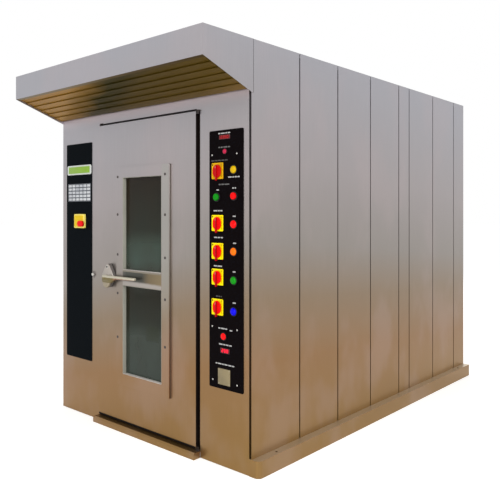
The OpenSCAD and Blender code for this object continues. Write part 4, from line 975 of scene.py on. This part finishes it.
# %% Keypad field and blank label
PADS_ACROSS, PADS_DOWN = 6, 5
PADS_MARGIN = 6
PAD_GAP = 7
LABEL_SCREW_INSET = 7
labels = Piece()
for box in solids("label_plates"):
    at, size = seat(box)[:2]
    keypad = size.x > 2 * size.z
    labels.loft(rounded(size.x, size.z, 2), [(0, 0), (0, 0.6), (0.3, 0.8)], at,
                "pad_grey" if keypad else "label_tan", PLATE_T)
    if keypad:
        pitch_x, pitch_z = (size.x - PADS_MARGIN) / PADS_ACROSS, (size.z - PADS_MARGIN) / PADS_DOWN
        for column in range(PADS_ACROSS):
            for row in range(PADS_DOWN):
                shift = Vector(((column - (PADS_ACROSS - 1) / 2) * pitch_x, 0,
                                (row - (PADS_DOWN - 1) / 2) * pitch_z))
                labels.loft(rounded(pitch_x - PAD_GAP, pitch_z - PAD_GAP, 5, 16),
                            [(0, 0.7), (0.4, 1)], at + shift, "pad_pale", PLATE_T)
    else:
        for across in (-1, 1):
            for up in (-1, 1):
                corner = Vector((across * (size.x / 2 - LABEL_SCREW_INSET), 0,
                                 up * (size.z / 2 - LABEL_SCREW_INSET)))
                labels.loft(disc(2.5, 16), [(0, 0.5), (0.8, 1)], at + corner, "screw_steel", PLATE_T)
labels.place("blank_labels", "cabinet", "label_grey", "label_plates")

# %% Motor starter
STARTER_TRIM = 16
PALM_LEFT = 4
PALM_OUTLINE = hull_of([(-14, 0), (14, 0)], 20)
at, size, front = seat(box_mm("starter_box"))
at.x -= STARTER_TRIM / 2
size.x -= STARTER_TRIM
palm_at, palm_size, palm_front = seat(box_mm("starter_button"))
palm_at.x -= PALM_LEFT
starter = Piece()
starter.loft(rounded(size.x, size.z, 8), [(0, PLATE_T - front), (0, -6), (0.8, -4.4), (2.4, -4)], at,
             "starter_pale", front)
starter.loft(rounded(size.x - 20, size.z - 20, 8), [(0, -5), (0, -1.2), (1.2, 0)], at,
             "switch_gold", front)
starter.loft(PALM_OUTLINE, [(0, -1), (0, 0), (1.5, 0.6)], palm_at, "knob_red_dim", front)
starter.place("starter_case", "cabinet", "switch_yellow", "starter_box")
palm = Piece()
palm.loft(PALM_OUTLINE, [(1.4, -7), (0.2, -6), (0, -3), (1.5, -1), (5, -0.1), (9, 0)], palm_at,
          "knob_red", palm_front)
palm.loft(disc(14, 28), [(0, -palm_size.y), (0, -6)], palm_at, "knob_red", palm_front)
palm.place("starter_palm", "starter_plunger", "knob_red", "starter_button")

# %% [markdown]
# # Keeper stud
# Beside the lever's head a turned stud with a flat head stands on a small cast plate. A revolved
# curve would do for the stud, but its plate isn't round, so three lofts make all of it.

# %% Keeper stud
at, size, front = seat(box_mm("door_keeper"))
keeper = Piece()
# The cast plate wears the darker alloy: painted shade.
keeper.loft(rounded(size.x, size.z, 6), [(0, 0), (0, 2), (1, 3)], at, "cast_shade")
keeper.loft(disc(6, 24), [(0, 2), (0, front - 6)], at, "cast_alloy")
keeper.loft(disc(10, 32), [(0.5, -7), (0, -6), (0, -2), (2.5, 0)], at, "stud_bright", front)
keeper.place("keeper_stud", "cabinet", "polished_steel", "door_keeper")

# %% [markdown]
# # Latch
# The lever turns on a rose, a cast diamond with a rounded face, and a countersunk screw above and
# below the hub. The rose's flank is painted darker, as shade, and each screw's socket is a black
# disc, painted shade in the hole. The lever is a flat bar that tapers behind its head, with well
# rounded edges and a round boss below the head. Its spindle goes through the door and carries the
# cam. The bar is a drawn outline with softened corners. A bevel modifier would round all edges
# alike, and here the front ones are fuller.

# %% Rose
LOBE_R = 24
SPINDLE_DROP = 13
rose_at, rose_size, rose_front = seat(box_mm("handle_base"))
spindle = rose_at - Vector((0, 0, SPINDLE_DROP))
lobe_x, lobe_z = rose_size.x / 2 - LOBE_R, rose_size.z / 2 - LOBE_R
lobes = hull_of([(lobe_x, 0), (0, lobe_z), (-lobe_x, 0), (0, -lobe_z)], LOBE_R, 64)
rose = Piece()
# The rose's flank wears the darker alloy: painted shade.
rose.loft(lobes, [(0, 0), (0, 19), (1, 21.5)], rose_at, "cast_shade", DOOR_FRONT)
rose.loft(lobes, [(1, 21), (2, 23), (4, 24.8), (8, 26)], rose_at, "cast_alloy", DOOR_FRONT)
rose.loft(disc(30), [(0, DOOR_FRONT + 10), (0, rose_front - 2), (2, rose_front)], spindle,
          "cast_alloy")
for up in (-lobe_z - 4, lobe_z + 4):
    at = rose_at + Vector((0, 0, up))
    rose.loft(disc(10, 28), [(0, 25), (0, 26.6), (1, 27.2)], at, "stud_bright", DOOR_FRONT)
    # The screw's socket is a black disc: painted shade in the hole.
    rose.loft(disc(6.5, 20), [(0, 26), (0, 27.5)], at, "seal_black", DOOR_FRONT)
rose.place("latch_rose", "door", "cast_handle", "handle_base")

# %% Lever, boss and cam
LEVER_CORNERS = [
    (-26, 18), (-26, -22), (-18, -30), (62, -30), (108, -4), (None, 1), (None, 18),
]
TIP_SHORT = 20
BOSS_R = 36
BOSS_SHIFT = Vector((8, 0, -28))
CAM_R = 13
CAM_T = 8
lever_box = box_mm("latch_lever")
reach = lever_box[1].x - spindle.x - TIP_SHORT
corners = [(reach if x is None else x, z) for x, z in LEVER_CORNERS]
lever_front = FACE_Y - lever_box[0].y
cam_back = FACE_Y - lever_box[1].y
cam_end = lever_box[0].z - spindle.z + CAM_R
lever = Piece()
lever.loft(softened(corners, 7), [
    (4, -22), (1, -20.5), (0, -17), (0, -7), (1.4, -3.2), (4.5, -0.8)
], spindle, "cast_lever", lever_front)
lever.loft(disc(11, 28), [(0, -2), (0, -0.5), (1, 0)], spindle, "cast_lever", lever_front)
lever.loft(disc(BOSS_R, 48), [(0, -22), (0, -12), (1.2, -9.6), (4, -8)], spindle + BOSS_SHIFT,
           "boss_tan", lever_front)
lever.loft(disc(8, 28), [(0, cam_back), (0, lever_front - 20)], spindle, "machine_steel")
lever.loft(hull_of([(0, 0), (0, cam_end)], CAM_R), [
    (0.6, 0), (0, 0.6), (0, CAM_T - 0.6), (0.6, CAM_T)
], spindle, "machine_steel", cam_back)
lever.place("latch_lever_and_cam", "latch", "cast_handle", "latch_lever")

# %% [markdown]
# # Windows
# A raised plate clamps the outer panes, with a row of screws down each stile. The walls of its
# openings are lined with a bead that holds the pane, and the lowest bead is painted lighter, a
# painted highlight for the light it catches. A sweep round the opening would need mitred corners,
# so four straight bars butt together.

# %% Window screws
SCREW_HEIGHTS = (1616, 1375, 1119, 871, 590)
LEFT_STILE_INSET = 14
RIGHT_STILE_INSET = 35
frame_low, frame_high = box_mm("window_frame")
frame_front = FACE_Y - frame_low.y
trim = Piece()
for x in (frame_low.x + LEFT_STILE_INSET, frame_high.x - RIGHT_STILE_INSET):
    for z in SCREW_HEIGHTS:
        trim.loft(disc(8.5, 24), [(0, 0), (0.3, 1), (2.5, 2)], Vector((x, FACE_Y, z)), "screw_dark",
                  frame_front)
trim.place("window_screws", "door", "machine_steel")

# %% Glazing beads
REBATE = 12
BEAD_T = 2.5
OUTER_PANE_WITHIN = 40
beads = Piece()
for box in solids("door_glass"):
    at, size, front = seat(box)
    if -front > OUTER_PANE_WITHIN:
        continue
    wide, tall = size.x - 2 * REBATE, size.z - 2 * REBATE
    depth = [(0, front + 0.2), (0, frame_front - 0.6), (0.6, frame_front + 0.3)]
    for side in (-1, 1):
        beads.loft(rounded(BEAD_T, tall, 0.6, 8), depth,
                   at + Vector((side * (wide - BEAD_T) / 2, 0, 0)), "bead_cream")
        # The lowest bead wears bead_bright: a painted highlight.
        beads.loft(rounded(wide, BEAD_T, 0.6, 8), depth,
                   at + Vector((0, 0, side * (tall - BEAD_T) / 2)),
                   "bead_cream" if side > 0 else "bead_bright")
beads.place("glazing_beads", "door", "label_grey")

# %% [markdown]
# # Black joints
# Rubber lines the door's free edges: a lip on its hinge side fills the gap there, a sweep hangs at
# its foot, and a drip strip with a hooked end sits over its head. Their near black stands for the
# shade in these gaps as well, so they are partly painted shade. Without them the gaps would look
# grey and thin. A line of brown sealant closes the window plate's right edge, and it is also the
# painted shadow of that plate's step. All of them are straight, so one function draws a bar between
# two corners, which come from the boxes of the parts beside it.

# %% Door joints and drip strip
SKIN_T = 2
EDGE_ROUND = 0.6
LIP_W = 3
SEALANT_W = 4
STRIP_ABOVE = 8
STRIP_H = 6
HOOK_W = 34
HOOK_H = 10


def bar(piece, low, high, finish="seal_black"):
    """A bar between two corners, with its front edges rounded."""
    low, high = Vector(low), Vector(high)
    at, size, front = seat((low, high))
    piece.loft(rounded(size.x, size.z, EDGE_ROUND, 8),
               [(0, -size.y), (0, -EDGE_ROUND), (EDGE_ROUND, 0)], at, finish, front)


core_low, core_high = box_mm("door_core")
leaf_low, leaf_high = box_mm("door_liner")
leaf_low.y, leaf_high.y = core_low.y - SKIN_T, core_high.y
front_y, back_y = leaf_low.y - 1.5, leaf_low.y + 1
joints = Piece()
bar(joints, (leaf_high.x, leaf_low.y + 2, leaf_low.z + 4),
    (leaf_high.x + LIP_W, leaf_high.y, leaf_high.z - 4))
bar(joints, (leaf_low.x + 2, front_y, leaf_low.z - 1.5), (leaf_high.x - 2, back_y, leaf_low.z + 9))
# The brown line is sealant and the painted shadow of the window plate's step.
bar(joints, (frame_high.x, front_y, frame_low.z), (frame_high.x + SEALANT_W, back_y, frame_high.z),
    "joint_brown")
joints.place("door_joints", "door", "seal_black")

strip_z = leaf_high.z + STRIP_ABOVE
head = Piece()
bar(head, (leaf_low.x, FACE_Y - 1.5, strip_z), (leaf_high.x - 2, FACE_Y + 1, strip_z + STRIP_H))
bar(head, (leaf_low.x, FACE_Y - 2, strip_z), (leaf_low.x + HOOK_W, FACE_Y + 1, strip_z + HOOK_H))
head.place("drip_strip", "cabinet", "seal_black")

# %% [markdown]
# # Closing pieces
# The door's sill is a folded channel, and small caps close its two ends. At the left front corner the
# plinth stands back, and a short return closes the corner between it and the front sheet. Without
# them white floor would show through. A thin joint parts the hood from the wall behind it.

# %% End caps and hood joint
CAP_T = 2
RETURN_X = (2, 24)
RETURN_FRONT = 2
HOOD_JOINT_W = 3
sill_low, sill_high = box_mm("door_sill")
caps = Piece()
for x in (sill_low.x + 0.3, sill_high.x - CAP_T - 0.3):
    bar(caps, (x, sill_low.y + 0.4, sill_low.z + 0.3), (x + CAP_T, FACE_Y - 1, sill_high.z - 0.4),
        "casing_steel")
channel_low, channel_high = min(solids("base_frame"), key=lambda box: box[0].x)
wall_x = box_mm("side_panels_left")[0].x
bar(caps, (wall_x + RETURN_X[0], FACE_Y + RETURN_FRONT, 0.5),
    (wall_x + RETURN_X[1], channel_low.y + 2, channel_high.z + 0.5), "casing_steel")
caps.place("end_caps", "cabinet", "casing_steel")

hood_low, hood_high = box_mm("hood_shell")
joint_at = Vector((box_mm("side_panels_right")[1].x, hood_high.y + HOOD_JOINT_W / 2,
                   (hood_low.z + hood_high.z) / 2))
hood_joint = Piece()
hood_joint.loft(rounded(HOOD_JOINT_W, hood_high.z - hood_low.z, 0.5, 8),
                [(0, -0.5), (0, 1.0), (0.4, 1.4)], joint_at, "seal_black", facing="right")
hood_joint.place("hood_joint", "cabinet", "seal_black")

# %% [markdown]
